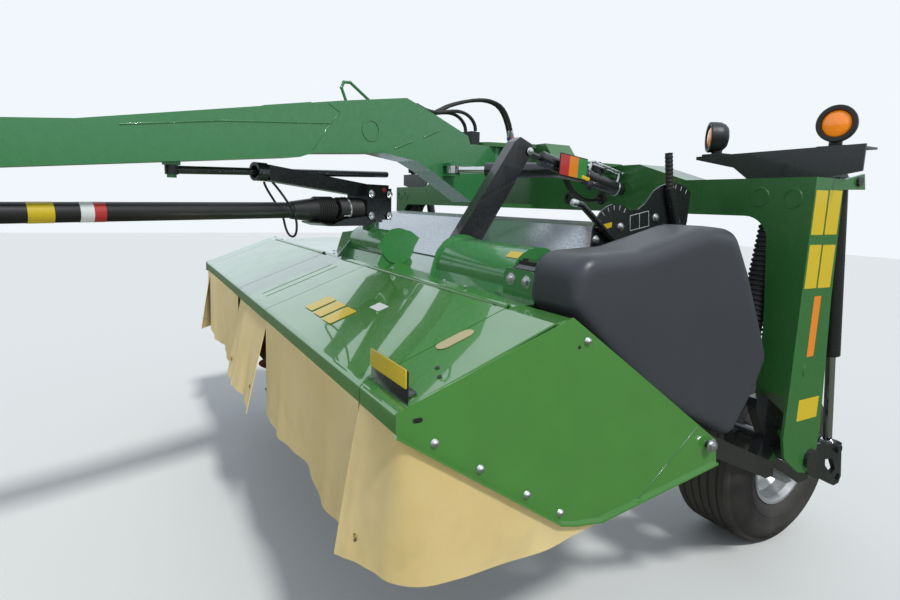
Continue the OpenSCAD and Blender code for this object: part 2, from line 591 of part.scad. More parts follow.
// Notched quadrant plate of the cutting height and tine settings, with its two hand levers.
quad_x = 1520;
front_fan = [-340, 1785, 124];   // Y, Z, radius
rear_fan = [-5, 1800, 208];
notch = [4, 30];                 // width, depth
module fan_notches(fan, angles) for (a = angles) translate([quad_x - 1, fan[0], fan[1]]) rotate([a, 0, 0])
    translate([0, fan[2] - notch[1], -notch[0] / 2]) cube([10, notch[1] - 8, notch[0]]);
module quadrant() color([0.09, 0.09, 0.1]) machine() {
    difference() {
        slab(quad_x, quad_x + 8) polygon(concat([[-480, 1620]],
            arc([front_fan[0], front_fan[1]], front_fan[2], 185, 52, 8),
            [[-212, 1888], [-172, 1914]], arc([rear_fan[0], rear_fan[1]], rear_fan[2], 126, 56, 6),
                [[105, 1840], [60, 1640]]));
        fan_notches(front_fan, [64:17:166]);
        fan_notches(rear_fan, [64:11:100]);
    }
    rod([quad_x + 22, -332, 1736], [quad_x + 22, -548, 1902], 13);
    rod([quad_x + 22, -544, 1899], [quad_x + 22, -590, 1908], 13);
    rod([quad_x + 7, -332, 1736], [quad_x + 36, -332, 1736], 26);
    rod([quad_x + 24, 20, 1800], [quad_x + 24, -52, 1985], 21);
    rod([quad_x + 24, -48, 1975], [quad_x + 24, -72, 2126], 14);
    rod([quad_x + 7, 20, 1800], [quad_x + 46, 20, 1800], 34);
}

// Relief springs between the beam and the mowing unit's rocker cranks.
spring_top = [leg_in - 76, 336, 1850];
spring_foot = [leg_in - 56, 178, 1110];
module relief_springs() color([0.05, 0.05, 0.05]) machine() both_sides() {
    rod(spring_foot - [0, 0, 30], spring_top, 14);
    post([spring_top[0], spring_top[1]], spring_top[2] - 20, beam_bottom, 20);
    rod(spring_foot + (spring_top - spring_foot) * 0.12, spring_top, 46);
}

// Lower links from the end plates to the rocker cranks.
link_rear = [205, 800];
module lower_links() color([0.07, 0.07, 0.08]) machine() both_sides() difference() {
    union() {
        for (x = [hood_half - end_plate_t - 20, hood_half - end_plate_t - 60])
            slab(x, x + 12) polygon([[link_bolt[0] - 30, link_bolt[1] + 28],
                [link_bolt[0] + 20, link_bolt[1] + 32],
                [link_rear[0] + 30, link_rear[1] + 30], [link_rear[0] + 30, link_rear[1] - 30],
                [link_rear[0] - 20, link_rear[1] - 30], [link_bolt[0] - 30, link_bolt[1] - 28]]);
        bar_x(hood_half - end_plate_t - 60, hood_half + 20, link_bolt, 14);
    }
    bar_x(hood_half - end_plate_t - 61, hood_half, link_rear, 14 + play);
}

// Rocker cranks inside the legs.
rocker_pin_r = 22;
module rocker_cranks() color([0.07, 0.07, 0.08]) machine() both_sides() difference() {
    union() {
        slab(leg_in + 20, leg_in + 64) polygon([[rocker_pivot[0] + 50, rocker_pivot[1] - 10],
            [rocker_pivot[0] + 42, rocker_pivot[1] + 62],
            [spring_foot[1] + 26, spring_foot[2] + 8], [spring_foot[1] - 30, spring_foot[2] + 2],
                [spring_foot[1] - 34, spring_foot[2] - 40],
            [link_rear[0] + 28, link_rear[1] + 128], [link_rear[0] - 38, link_rear[1] + 10],
                [link_rear[0] - 20, link_rear[1] - 36],
            [link_rear[0] + 34, link_rear[1] - 36]]);
        bar_x(leg_in + 64, hood_half - end_plate_t - 9, link_rear, 14);
        bar_x(spring_foot[0] + 14, leg_in + 30, [spring_foot[1], spring_foot[2] - 18], 12);
    }
    bar_x(leg_in + 19, leg_in + 65, rocker_pivot, rocker_pin_r + play);
}

// Swivel gearbox on the mowing unit, with the arm that the steering rod turns it by.
steer_rest = atan2(ball_s * sin(swing_rest), ball_s * cos(swing_rest) - gear_s);
gearbox_low = 1768;
gearbox_top = 1995;
guide_s = 760;
ball_at = [ball_s * sin(swing_rest), -ball_s * cos(swing_rest)];
gear_at = [0, -gear_s];
steer_len = norm(ball_at - gear_at);
steer_rise = 0.038;
ball_r = 46;
function steer_z(s) = ball_z + (steer_len - s) * steer_rise;
box_half = 86;
box_front = 112;
fork_z = joint_z - 88;
module on_gearbox() machine() translate([0, -gear_s, 0]) rotate(steer_rest) children();
// Cradle under the boot: a bottom plate with two low cheeks, bolted to the gearbox.
module fork() {
    slab(-80, 80) polygon([[-56, fork_z + 20], [-56, fork_z + 40], [-box_front - 6, fork_z + 8],
        [-joint_d - 90, fork_z + 8],
        [-joint_d - 150, fork_z + 24], [-joint_d - 150, fork_z + 16], [-joint_d - 90, fork_z],
            [-box_front, fork_z]]);
    for (x = [-88, 80]) slab(x, x + 8) polygon([[-60, fork_z + 20], [-60, fork_z + 60],
        [-joint_d + 20, fork_z + 38],
        [-joint_d - 70, fork_z + 8], [-joint_d - 70, fork_z], [-box_front, fork_z]]);
}
module swivel_gearbox() color([0.1, 0.11, 0.12]) on_gearbox() difference() {
    union() {
        block([-box_half, -box_front, gearbox_low + 15], [box_half, 88, gearbox_top - 26]);
        block([-box_half + 12, -box_front + 14, gearbox_top - 30], [box_half - 12, 76, gearbox_top - 6]);
        for (y = [-box_front + 26, 62], z = [gearbox_low + 40, gearbox_top - 60])
            bar_x(-box_half - 9, box_half + 9, [y, z], 15);
        post([0, 0], gearbox_low, gearbox_low + 15, 70);
        slab(-42, 42) polygon([[-60, gearbox_top - 80], [-60, gearbox_top - 6],
            [-guide_s + 30, steer_z(guide_s) + 36],
            [-guide_s + 30, steer_z(guide_s) - 42]]);
        translate([0, -guide_s + 31, steer_z(guide_s)]) rotate([90, 0, 0]) cylinder(r = 46, h = 62);
        translate([0, -box_front, joint_z]) rotate([90, 0, 0]) cylinder(r = 49, h = 126);
        translate([0, -box_front - 120, joint_z]) rotate([90, 0, 0])
            cylinder(r = 28, h = joint_d - box_front - 120);
        fork();
        translate([0, -joint_d, joint_z]) sphere(r = ball_r);
    }
    rod([0, -guide_s + 200, steer_z(guide_s - 200)], [0, -guide_s - 200, steer_z(guide_s + 200)],
        steer_r + 14);
    slab(-steer_r - 14, steer_r + 14) polygon([[-240, steer_z(240) - steer_r - 6],
        [-240, steer_z(240) + 90],
        [-guide_s + 32, steer_z(guide_s) + 90], [-guide_s + 32, steer_z(guide_s) - steer_r - 6]]);
}

// Corrugated rubber boot over the shaft joint.
boot_rings = 12;
ring_w = 14;
module joint_boot() color([0.05, 0.05, 0.05]) on_gearbox() translate([0, -box_front - seat, joint_z])
    rotate([90, 0, 0]) difference() {
    for (i = [0:boot_rings - 1]) translate([0, 0, i * ring_w]) cylinder(r1 = 71, r2 = 63, h = ring_w);
    translate([0, 0, -1]) cylinder(r = 49 + seat, h = boot_rings * ring_w + 2);
}

// Steering rod: its ball joint hangs under the drawbar and its tail slides through the gearbox's guide.
module steering_rod() color([0.06, 0.06, 0.07]) machine() translate([ball_at[0], ball_at[1], 0])
    rotate(steer_rest) {
    difference() {
        union() {
            post([0, 0], ball_z - 20, ball_z + 20, 28);
            rod([0, 10, steer_z(steer_len - 10)], [0, steer_len + 130, steer_z(-130)], steer_r);
        }
        post([0, 0], ball_z - 21, ball_z + 21, 12 + seat);
    }
}

// Driveline between the swivel gearbox and the bearing under the drawbar: two telescoping guard tubes.
joint_at = [joint_d * sin(steer_rest), -gear_s - joint_d * cos(steer_rest)];
bearing_at = [bearing_s * sin(swing_rest), -bearing_s * cos(swing_rest)];
shaft_len = norm(bearing_at - joint_at);
shaft_turn = atan2(bearing_at[0] - joint_at[0], joint_at[1] - bearing_at[1]);
shaft_dip = (joint_z - bearing_z) / shaft_len;
bell = [118, 262];   // start and end of the guard's bell
bell_r = 66;
module along_shaft() machine() translate([joint_at[0], joint_at[1], 0]) rotate(shaft_turn) children();
function shaft_point(s) = [0, -s, joint_z - s * shaft_dip];
module shaft_rear() color([0.05, 0.05, 0.055]) along_shaft() {
    difference() {
        union() {
            pipe(shaft_point(bell[1] - 5), shaft_point(1700), guard_r, guard_r - guard_wall);
            rod(shaft_point(6), shaft_point(bell[0]), bell_r - 8);
            for (i = [0:6]) spindle(shaft_point(8 + i * 15), shaft_point(23 + i * 15), bell_r,
                bell_r - 7);
            spindle(shaft_point(bell[0] - 5), shaft_point(bell[1]), bell_r, guard_r + 5);
        }
        translate(shaft_point(0)) sphere(r = ball_r + seat);
    }
}
inner_r = 30;
module shaft_front() color([0.07, 0.07, 0.075]) along_shaft() difference() {
    union() {
        rod(shaft_point(1350), shaft_point(shaft_len - 120), inner_r);
        rod(shaft_point(shaft_len - 160), shaft_point(shaft_len - 5), 58);
    }
    translate(shaft_point(shaft_len)) sphere(r = 32 + seat);
}

// Drawbar: tapered box over the hood with a deep neck at its pivot, bent down to the hitch.
bend_s = bearing_s + 300;
end_s = boom_len - swivel_r + 12;
fold = [1426, 2097];
under_slope = 0.1005;
function under(s) = fold[1] - (s - fold[0]) * under_slope;
end_low = swivel_z + 20;
crest = [765, 2466];
nose_slope = (under(bend_s) - end_low) / (end_s - bend_s);
function low_line(s) = s < bend_s ? under(s) : under(bend_s) - (s - bend_s) * nose_slope;
jack_s = boom_len - jack_back;
boom_outline = [[-230, hub_z], [-570, 2078], [-693, 2128], [-919, 2155], [-1354, 2122],
    [-fold[0], fold[1]],
    [-bend_s, under(bend_s)], [-end_s, end_low], [-end_s, end_low + boom_h],
        [-bend_s - 60, under(bend_s) + boom_h],
    [-2367, under(2367) + boom_h], [-1185, 2396], [-crest[0], crest[1]], [-564, 2404], [-284, 2306],
        [-250, 2240], [-230, hub_top]];
module on_drawbar() machine() rotate(swing_rest) children();
module drawbar() color("forestgreen") on_drawbar() difference() {
    union() {
        slab(-boom_w / 2, boom_w / 2) polygon(boom_outline);
        post([0, 0], hub_z, hub_top, hub_r);
        post([0, 0], hub_z - bracket_t - 10, hub_top + bracket_t + 10, pivot_pin_r - seat);
        block([-boom_w / 2, -232, hub_z], [boom_w / 2, 0, hub_top]);
        translate([0, -boom_len, 0]) post([0, 0], swivel_z, swivel_z + 240, swivel_r);
        bearing_bracket();
        ball_bracket();
        jack_sleeve();
        shaft_hook();
        for (z = [ram_z - eye_h / 2 - seat - lug_t, ram_z + eye_h / 2 + seat]) translate([0, 0, z])
            linear_extrude(lug_t) union() {
            translate([swing_a[0], -swing_a[1]]) circle(36);
            translate([0, -swing_a[1] - 36]) square([swing_a[0], 72]);
        }
        post([swing_a[0], -swing_a[1]], ram_z - eye_h / 2 - seat - lug_t - 10,
            ram_z + eye_h / 2 + seat + lug_t + 10, 8);
        for (x = [-boom_w / 2 - 4, boom_w / 2]) pipe([x, -ring_at[0], ring_at[1]],
            [x + 4, -ring_at[0], ring_at[1]], 58, 48);
        for (i = [0:len(hoop) - 2]) rod([0, -hoop[i][0], hoop[i][1]],
            [0, -hoop[i + 1][0], hoop[i + 1][1]], 8);
        for (p = hoop) translate([0, -p[0], p[1]]) sphere(r = 9.5);
    }
    translate([0, -boom_len, 0]) post([0, 0], swivel_z - 1, swivel_z + 241, 30 + seat);
}
// Pressed rings on the drawbar's sides and the hose hoop on its top: place along the drawbar, height.
ring_at = [1005, 2268];
hoop = [[945, 2430], [1078, 2512], [1118, 2508], [1132, 2478], [1098, 2400]];
module bearing_bracket() {
    block([-50, -bearing_s - 58, bearing_z - 10], [50, -bearing_s - 20, under(bearing_s) + 25]);
    translate([0, -bearing_s - 60, bearing_z]) rotate([-90, 0, 0]) cylinder(r = 66, h = 44);
    translate([0, -bearing_s - 17, bearing_z]) rotate([-90, 0, 0]) cylinder(r = 24, h = 17);
    translate([0, -bearing_s, bearing_z]) sphere(r = 32);
}
module ball_bracket() {
    block([-30, -ball_s - 30, ball_z + 20 + seat], [30, -ball_s + 30, under(ball_s) + 10]);
    post([0, -ball_s], ball_z - 24, ball_z + 21, 12);
    post([0, -ball_s], ball_z - 34, ball_z - 20 - seat, 20);
}
jack_x = -boom_w / 2 - jack_w / 2 - 10;
sleeve_z = [820, low_line(jack_s) + 253];
module jack_sleeve() {
    difference() {
        block([jack_x - jack_w / 2, -jack_s - jack_w / 2, sleeve_z[0]],
            [jack_x + jack_w / 2, -jack_s + jack_w / 2, sleeve_z[1]]);
        block([jack_x - jack_w / 2 + jack_wall, -jack_s - jack_w / 2 + jack_wall, sleeve_z[0] - 1],
            [jack_x + jack_w / 2 - jack_wall, -jack_s + jack_w / 2 - jack_wall, sleeve_z[1] - jack_wall]);
    }
    block([-boom_w / 2 - 12, -jack_s - 60, low_line(jack_s) + 50],
        [-boom_w / 2, -jack_s + 60, low_line(jack_s) + 133]);
}
// Hook that holds the parked end of the tractor's shaft.
hook_s = boom_len - 500;
function parked_z(s) = bearing_z - (s - bearing_s) * parked_slope;
parked_slope = nose_slope * 0.96;
module shaft_hook() difference() {
    block([-60, -hook_s - 8, parked_z(hook_s) - 60], [60, -hook_s + 8, low_line(hook_s) + 20]);
    rod([0, -hook_s + 90, parked_z(hook_s - 90)], [0, -hook_s - 90, parked_z(hook_s + 90)], guard_r);
}

// Front shaft to the tractor, parked in the hook, with its splined yoke.
spline_r = 17.5;
module parked_rod(s0, s1, r) rod([0, -s0, parked_z(s0)], [0, -s1, parked_z(s1)], r);
module tractor_shaft() color([0.05, 0.05, 0.055]) on_drawbar() difference() {
    union() {
        parked_rod(bearing_s + 82, bearing_s + 205, 58);
        parked_rod(bearing_s + 200, boom_len - 200, guard_r - 0.3);
        parked_rod(boom_len - 205, boom_len - 40, 58);
        parked_rod(boom_len - 45, boom_len + 40, 34);
    }
    parked_rod(boom_len - 60, boom_len + 70, spline_r);
}

// Hitch yoke for the tractor's lower links, on an upright swivel.
yoke_top = swivel_z + 240;
link_in = link_span / 2;
module hitch_yoke() color("forestgreen") on_drawbar() translate([0, -boom_len, 0]) {
    for (z = [swivel_z - seat - 25, yoke_top + seat]) translate([0, 0, z]) linear_extrude(25) union() {
        circle(swivel_r);
        translate([-swivel_r, -150]) square([2 * swivel_r, 150]);
    }
    post([0, 0], swivel_z - seat - 26, yoke_top + 26, 30);
    block([-swivel_r, -150, swivel_z - seat - 25], [swivel_r, -110, yoke_top + seat + 25]);
    block([-link_in, -150, swivel_z - 120], [link_in, -75, swivel_z - seat - 24]);
    both_sides() {
        slab(link_in - 30, link_in) polygon([[-70, swivel_z - 60], [-70, swivel_z - 160],
            [-yoke_s + 40, link_pin_z - 40],
            [-yoke_s - 40, link_pin_z - 40], [-yoke_s - 40, link_pin_z + 60], [-150, swivel_z - 60]]);
        bar_x(link_in, link_in + 90, [-yoke_s, link_pin_z], link_pin_r);
    }
}

// Jack leg with its foot.
module jack_leg() color("gray") on_drawbar() {
    r = jack_w / 2 - jack_wall - 1;
    block([jack_x - r, -jack_s - r, 14], [jack_x + r, -jack_s + r, sleeve_z[0] + 360]);
    block([jack_x - foot_w / 2, -jack_s - foot_w / 2, 0],
        [jack_x + foot_w / 2, -jack_s + foot_w / 2, 14]);
}

// Swing cylinder between the beam and the drawbar's near side.
swing_a = [150, 450];
turned_a = [swing_a[0] * cos(swing_rest) + swing_a[1] * sin(swing_rest),
    swing_a[0] * sin(swing_rest) - swing_a[1] * cos(swing_rest)];
swing_gap = norm(swing_b - turned_a);
swing_turn = atan2(turned_a[1] - swing_b[1], turned_a[0] - swing_b[0]);
module along_ram() machine() translate([swing_b[0], swing_b[1], ram_z]) rotate(swing_turn)
    rotate([0, 90, 0]) children();
module cross_eye(r, bore) rotate([0, 90, 0]) translate([0, 0, -eye_h / 2]) difference() {
    cylinder(r = r, h = eye_h);
    translate([0, 0, -1]) cylinder(r = bore, h = eye_h + 2);
}
swing_barrel_len = 640;
swing_rod_len = 520;
module swing_barrel() color([0.06, 0.06, 0.07]) along_ram() difference() {
    union() {
        translate([0, 0, 56]) cylinder(r = 42, h = swing_barrel_len - 56);
        translate([-eye_h / 2, 0, 0]) rotate([0, 90, 0]) cylinder(r = 34, h = eye_h);
        translate([-eye_h / 2, -30, 0]) cube([eye_h, 60, 66]);
        translate([-eye_h / 2 - lug_t - 8, 0, 0]) rotate([0, 90, 0])
            cylinder(r = swing_pin_r, h = eye_h + 2 * lug_t + 16);
    }
    translate([0, 0, 76]) cylinder(r = 21.3, h = swing_barrel_len);
}
module swing_rod() color("silver") along_ram() difference() {
    union() {
        translate([0, 0, swing_gap - swing_rod_len]) cylinder(r = 21, h = swing_rod_len - 38);
        translate([-eye_h / 2 + 1, 0, swing_gap]) rotate([0, 90, 0]) cylinder(r = 44, h = eye_h - 2);
    }
    translate([0, 0, swing_gap]) rotate([0, 90, 0]) translate([0, 0, -eye_h])
        cylinder(r = 34, h = 2 * eye_h);
}

// Wheel arm: cranked casting in the leg, cross tube and trailing arm with the axle stub.
arm_tube_r = 45;
ram_pin_r = 20;
casting_x = [ram_x - 48, ram_x + 48];
arm_in = track_half + tyre_w / 2 + 35;
ear_t = 22;
tip_hole = [785, 640];    // transport lock's hole: Y, Z
module wheel_arm() machine() {
    union() {
        bar_x(arm_in, frame_half + 18, arm_pivot, arm_tube_r);
        for (x = [casting_x[0], casting_x[1] - ear_t]) slab(x, x + ear_t) difference() {
            polygon([[arm_pivot[0] - 44, arm_pivot[1] + 10], [arm_pivot[0] + 10, arm_pivot[1] + 48],
                [ram_foot[0] - 36, ram_foot[1] + 30],
                [ram_foot[0] - 10, ram_foot[1] + 42], [ram_foot[0] + 34, ram_foot[1] + 22],
                    [ram_foot[0] + 40, ram_foot[1] - 16],
                [tip_hole[0] + 36, tip_hole[1]], [tip_hole[0] + 22, tip_hole[1] - 34],
                    [tip_hole[0] - 20, tip_hole[1] - 38],
                [arm_pivot[0] + 110, arm_pivot[1] - 118], [arm_pivot[0] - 14, arm_pivot[1] - 50]]);
            polygon([[ram_foot[0] - 130, ram_foot[1] - 30], [ram_foot[0] - 34, ram_foot[1] - 44],
                [tip_hole[0] - 26, tip_hole[1] + 46],
                [tip_hole[0] - 60, tip_hole[1] + 30]]);
            translate(tip_hole) circle(20);
        }
        slab(arm_in, arm_in + 60) polygon([[arm_pivot[0] - 60, arm_pivot[1] + 10],
            [arm_pivot[0] + 10, arm_pivot[1] + 60],
            [axle_y + 55, tyre_r + 50], [axle_y + 55, tyre_r - 50], [axle_y - 40, tyre_r - 50],
                [arm_pivot[0] - 50, arm_pivot[1] - 50]]);
        bar_x(arm_in - 130, arm_in, [axle_y, tyre_r], 38);
        bar_x(casting_x[0] - 12, casting_x[1] + 12, ram_foot, 8);
        for (x = [casting_x[0] - 12, casting_x[1]]) bar_x(x, x + 12, ram_foot, ram_pin_r);
    }
}
module wheel_arm_left() color([0.08, 0.08, 0.09]) wheel_arm();
module wheel_arm_right() color([0.08, 0.08, 0.09]) mirror([1, 0, 0]) wheel_arm();

// Tyre: ribbed implement tread.
groove_n = 5;
module tyre() machine() translate([track_half, axle_y, tyre_r]) rotate([0, 90, 0])
    rotate_extrude($fn = 72) difference() {
    polygon(concat([[rim_r - 14, -tyre_w * 0.36], [rim_r + 4, -tyre_w * 0.42]],
        arc([tyre_r - 95, -tyre_w / 2 + 95], 95, 200, 300, 5),
        [[tyre_r - 14, -tyre_w * 0.40], [tyre_r, -tyre_w * 0.34], [tyre_r, tyre_w * 0.34],
            [tyre_r - 14, tyre_w * 0.40]],
        arc([tyre_r - 95, tyre_w / 2 - 95], 95, 60, 160, 5),
        [[rim_r + 4, tyre_w * 0.42], [rim_r - 14, tyre_w * 0.36]]));
    for (i = [0:groove_n - 1]) translate([tyre_r - 11, (i - (groove_n - 1) / 2) * tyre_w * 0.135 - 7])
        square([20, 14]);
}
module tyre_left() color([0.07, 0.07, 0.07]) tyre();
module tyre_right() color([0.07, 0.07, 0.07]) mirror([1, 0, 0]) tyre();

// Rim with its dish and hub, running on the axle stub.
hub_face = arm_in - track_half - 12;
module rim() machine() translate([track_half, axle_y, tyre_r]) rotate([0, 90, 0]) {
    rotate_extrude($fn = 72) polygon([[rim_r - 14.3, -tyre_w * 0.36], [rim_r - 14.3, tyre_w * 0.36],
        [rim_r + 3.6, tyre_w * 0.42 + 0.3],
        [rim_r + 3, tyre_w * 0.42 + 8], [rim_r - 12, tyre_w * 0.44], [rim_r - 26, tyre_w * 0.36],
            [rim_r - 34, tyre_w * 0.2], [rim_r - 60, tyre_w * 0.12],
        [90, tyre_w * 0.08], [90, tyre_w * 0.08 - 12], [rim_r - 66, tyre_w * 0.05],
            [rim_r - 44, tyre_w * 0.05], [rim_r - 26, -tyre_w * 0.36],
        [rim_r - 12, -tyre_w * 0.44], [rim_r + 3, -tyre_w * 0.42 - 8],
            [rim_r + 3.6, -tyre_w * 0.42 - 0.3]]);
    difference() {
        translate([0, 0, -40]) cylinder(r = 92, h = hub_face + 40);
        translate([0, 0, arm_in - track_half - 130 - 5]) cylinder(r = 38 + seat, h = 300);
    }
}
module rim_left() color("silver") rim();
module rim_right() color("silver") mirror([1, 0, 0]) rim();

// Lift cylinder: barrel on the leg's upper pin, rod on the wheel arm.
ram_d = ram_foot - ram_top;
ram_len = norm(ram_d);
ram_turn = atan2(ram_d[0], -ram_d[1]);
lift_barrel_len = 790;
lift_rod_len = 900;
module along_lift() machine() translate([ram_x, ram_top[0], ram_top[1]]) rotate([ram_turn, 0, 0])
    children();
module lift_barrel() along_lift() difference() {
    union() {
        translate([0, 0, -lift_barrel_len]) cylinder(r = 38, h = lift_barrel_len - 30);
        bar_x(-24, 24, [0, 0], 38);
        bar_x(-40, frame_half - ram_x + 10, [0, 0], ram_pin_r - 0.25);
        translate([-24, -30, -60]) cube([48, 60, 50]);
    }
    translate([0, 0, -lift_barrel_len - 1]) cylinder(r = 20.3, h = lift_barrel_len - 69);
}
module lift_barrel_left() color([0.06, 0.06, 0.07]) lift_barrel();
module lift_barrel_right() color([0.06, 0.06, 0.07]) mirror([1, 0, 0]) lift_barrel();
module lift_rod() along_lift() {
    translate([0, 0, -ram_len + 30]) cylinder(r = 20, h = lift_rod_len - 30);
    difference() {
        bar_x(-23, 23, [0, -ram_len], 36);
        bar_x(-24, 24, [0, -ram_len], 24);
    }
}
module lift_rod_left() color("silver") lift_rod();
module lift_rod_right() color("silver") mirror([1, 0, 0]) lift_rod();

// Hydraulic valve block on the drawbar's hub.
valve_s = [142, 214];
valve_top = hub_top + 85;
module valve_block() color([0.1, 0.1, 0.1]) on_drawbar()
    block([-50, -valve_s[1], hub_top], [50, -valve_s[0], valve_top]);

// Hydraulic hoses from the drawbar's back: two over its pivot to the frame, two into the valve block.
hose_r = 11;
over_pivot = [[-700, 2459], [-640, 2441], [-560, 2421], [-484, 2428], [-378, 2479], [-250, 2521],
    [-122, 2549], [-20, 2556],
    [70, 2540], [130, 2498], [175, 2430], [200, 2360], [208, 2320],
        [210, hub_top + seat + bracket_t + 1.5]];
to_valve = [[-660, 2448], [-590, 2428], [-500, 2422], [-420, 2438], [-335, 2450], [-262, 2442],
    [-210, 2414], [-184, 2380],
    [-178, valve_top + 2.5]];
// Hoses: offset across the drawbar, and which of the two routes it takes.
hose_list = [[-14, 0], [16, 0], [46, 1], [-44, 1]];
ring_sides = 8;
function bend_point(v, i, t) = let (a = v[max(i - 1, 0)], b = v[i], c = v[i + 1],
    d = v[min(i + 2, len(v) - 1)])
    0.5 * (2 * b + (c - a) * t + (2 * a - 5 * b + 4 * c - d) * t * t + (3 * b - a - 3 * c + d) * t * t * t);
function smooth(v) = concat([for (i = [0:len(v) - 2], t = [0, 0.5]) bend_point(v, i, t)],
    [v[len(v) - 1]]);
module swept_hose(x, route) {
    line = smooth(route);
    n = len(line);
    function heading(i) = let (d = line[min(i + 1, n - 1)] - line[max(i - 1, 0)]) d / norm(d);
    points = [for (i = [0:n - 1], k = [0:ring_sides - 1]) let (d = heading(i), a = k * 360 / ring_sides)
        [x + hose_r * cos(a), line[i][0] - d[1] * hose_r * sin(a), line[i][1] + d[0] * hose_r * sin(a)]];
    sides = [for (i = [0:n - 2], k = [0:ring_sides - 1])
        let (a = i * ring_sides + k, b = i * ring_sides + (k + 1) % ring_sides)
        [a, a + ring_sides, b + ring_sides, b]];
    caps = [[for (k = [0:ring_sides - 1]) k], [for (k = [ring_sides - 1:-1:0]) (n - 1) * ring_sides + k]];
    polyhedron(concat(points), concat(sides, caps));
}
module hoses() color([0.05, 0.05, 0.06]) on_drawbar() for (h = hose_list)
    swept_hose(h[0], h[1] == 0 ? over_pivot : to_valve);

main_beam();
leg_left();
leg_right();
light_brackets();
lamp_housings();
lamp_lenses();
hood_deck();
end_sections();
side_curtains();
centre_curtain();
lid_left();
lid_right();
lid_curtain_left();
lid_curtain_right();
cutter_bar();
disc_1();
disc_2();
disc_3();
disc_4();
disc_5();
disc_6();
disc_7();
disc_8();
tine_rotor();
conditioner_cover();
conditioner_sides();
drive_guards();
belt_cover();
lift_arm();
tie_cylinder();
quadrant();
relief_springs();
lower_links();
rocker_cranks();
swivel_gearbox();
joint_boot();
steering_rod();
shaft_rear();
shaft_front();
tractor_shaft();
drawbar();
hitch_yoke();
jack_leg();
swing_barrel();
swing_rod();
wheel_arm_left();
wheel_arm_right();
tyre_left();
tyre_right();
rim_left();
rim_right();
lift_barrel_left();
lift_barrel_right();
lift_rod_left();
lift_rod_right();
valve_block();
hoses();
belt_gearbox();
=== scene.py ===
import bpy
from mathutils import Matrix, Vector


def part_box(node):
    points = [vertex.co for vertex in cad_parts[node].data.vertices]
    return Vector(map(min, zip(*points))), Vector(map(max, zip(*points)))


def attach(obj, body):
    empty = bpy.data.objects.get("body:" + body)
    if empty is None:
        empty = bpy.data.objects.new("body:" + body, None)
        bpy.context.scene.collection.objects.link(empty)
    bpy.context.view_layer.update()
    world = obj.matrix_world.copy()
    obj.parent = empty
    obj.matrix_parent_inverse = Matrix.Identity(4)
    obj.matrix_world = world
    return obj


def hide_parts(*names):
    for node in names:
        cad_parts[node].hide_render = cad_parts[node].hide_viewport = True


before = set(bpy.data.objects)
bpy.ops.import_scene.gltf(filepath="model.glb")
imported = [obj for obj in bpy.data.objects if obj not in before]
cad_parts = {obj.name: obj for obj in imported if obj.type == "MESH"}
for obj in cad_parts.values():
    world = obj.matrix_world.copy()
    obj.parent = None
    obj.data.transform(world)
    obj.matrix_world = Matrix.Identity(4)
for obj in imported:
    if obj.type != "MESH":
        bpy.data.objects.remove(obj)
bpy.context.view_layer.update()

import math

import bpy
from mathutils import Matrix, Vector

# The photographer's place. They stood beside the machine's front left corner, level with the
# drawbar, with a wide lens tilted a little down. Fore and aft, places are counted from the
# drawbar's pivot, which lies ahead of the wheels' axle.
axle_back = 1.045
tyre_low, tyre_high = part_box("tyre_left")
pivot_y = (tyre_low.y + tyre_high.y) / 2 - axle_back
focal_pixels, photo_pixels, sensor_mm = 577.853, 900, 36.0
eye_left, eye_ahead, eye_high = 3.327, 2.146, 1.892
view_turn = Matrix(((0.4877, -0.1571, 0.8588),
                    (0.8725, 0.0570, -0.4850),
                    (0.0273, 0.9859, 0.1649)))
camera_data = bpy.data.cameras.new("photo_camera")
camera_data.sensor_fit = "HORIZONTAL"
camera_data.sensor_width = sensor_mm
camera_data.lens = focal_pixels / photo_pixels * sensor_mm
camera_data.clip_end = 100.0
camera = bpy.data.objects.new("photo_camera", camera_data)
bpy.context.scene.collection.objects.link(camera)
eye = Matrix.Translation((eye_left, pivot_y - eye_ahead, eye_high))
camera.matrix_world = eye @ view_turn.to_4x4()
bpy.context.scene.camera = camera
bpy.context.scene.view_settings.view_transform = "Standard"

# Ground and light of a plain studio: a matt pale floor, one broad lamp from high on the machine's
# left like the sun in the photo, and an even sky. Gloss paint and metal mirror a darker ground and
# horizon under that sky, as they do in a field.
floor_colour, floor_mirrored = (0.72, 0.73, 0.70, 1), (0.075, 0.085, 0.05, 1)
sky_colour, sky_strength = (0.80, 0.88, 1.0, 1), 0.62
sky_behind = (0.88, 0.93, 0.97, 1)
horizon_mirrored, sky_mirrored = (0.10, 0.13, 0.09, 1), (0.84, 0.92, 1.0, 1)
sun_from, sun_strength, sun_width = Vector((1.2, 0.05, 1.5)), 2.1, 0.12


def node(tree, kind, **settings):
    made = tree.nodes.new("ShaderNode" + kind)
    for key, value in settings.items():
        setattr(made, key, value)
    return made


def link(tree, output, target):
    tree.links.new(output, target)


def preset(made, values):
    """Sets plain inputs of a node by their names."""
    for name, value in values.items():
        made.inputs[name].default_value = value


def spread(tree, value, low, high, to_low=0.0, to_high=1.0):
    """A value stretched from one range to another and clamped."""
    made = node(tree, "MapRange")
    preset(made, {"From Min": low, "From Max": high, "To Min": to_low, "To Max": to_high})
    link(tree, value, made.inputs["Value"])
    return made.outputs[0]


def combined(tree, a, b, operation="ADD"):
    """Two values, each plain or from another node, put together by an operation."""
    made = node(tree, "Math", operation=operation)
    for slot, value in zip(made.inputs, (a, b)):
        if isinstance(value, (int, float)):
            slot.default_value = value
        else:
            link(tree, value, slot)
    return made.outputs[0]


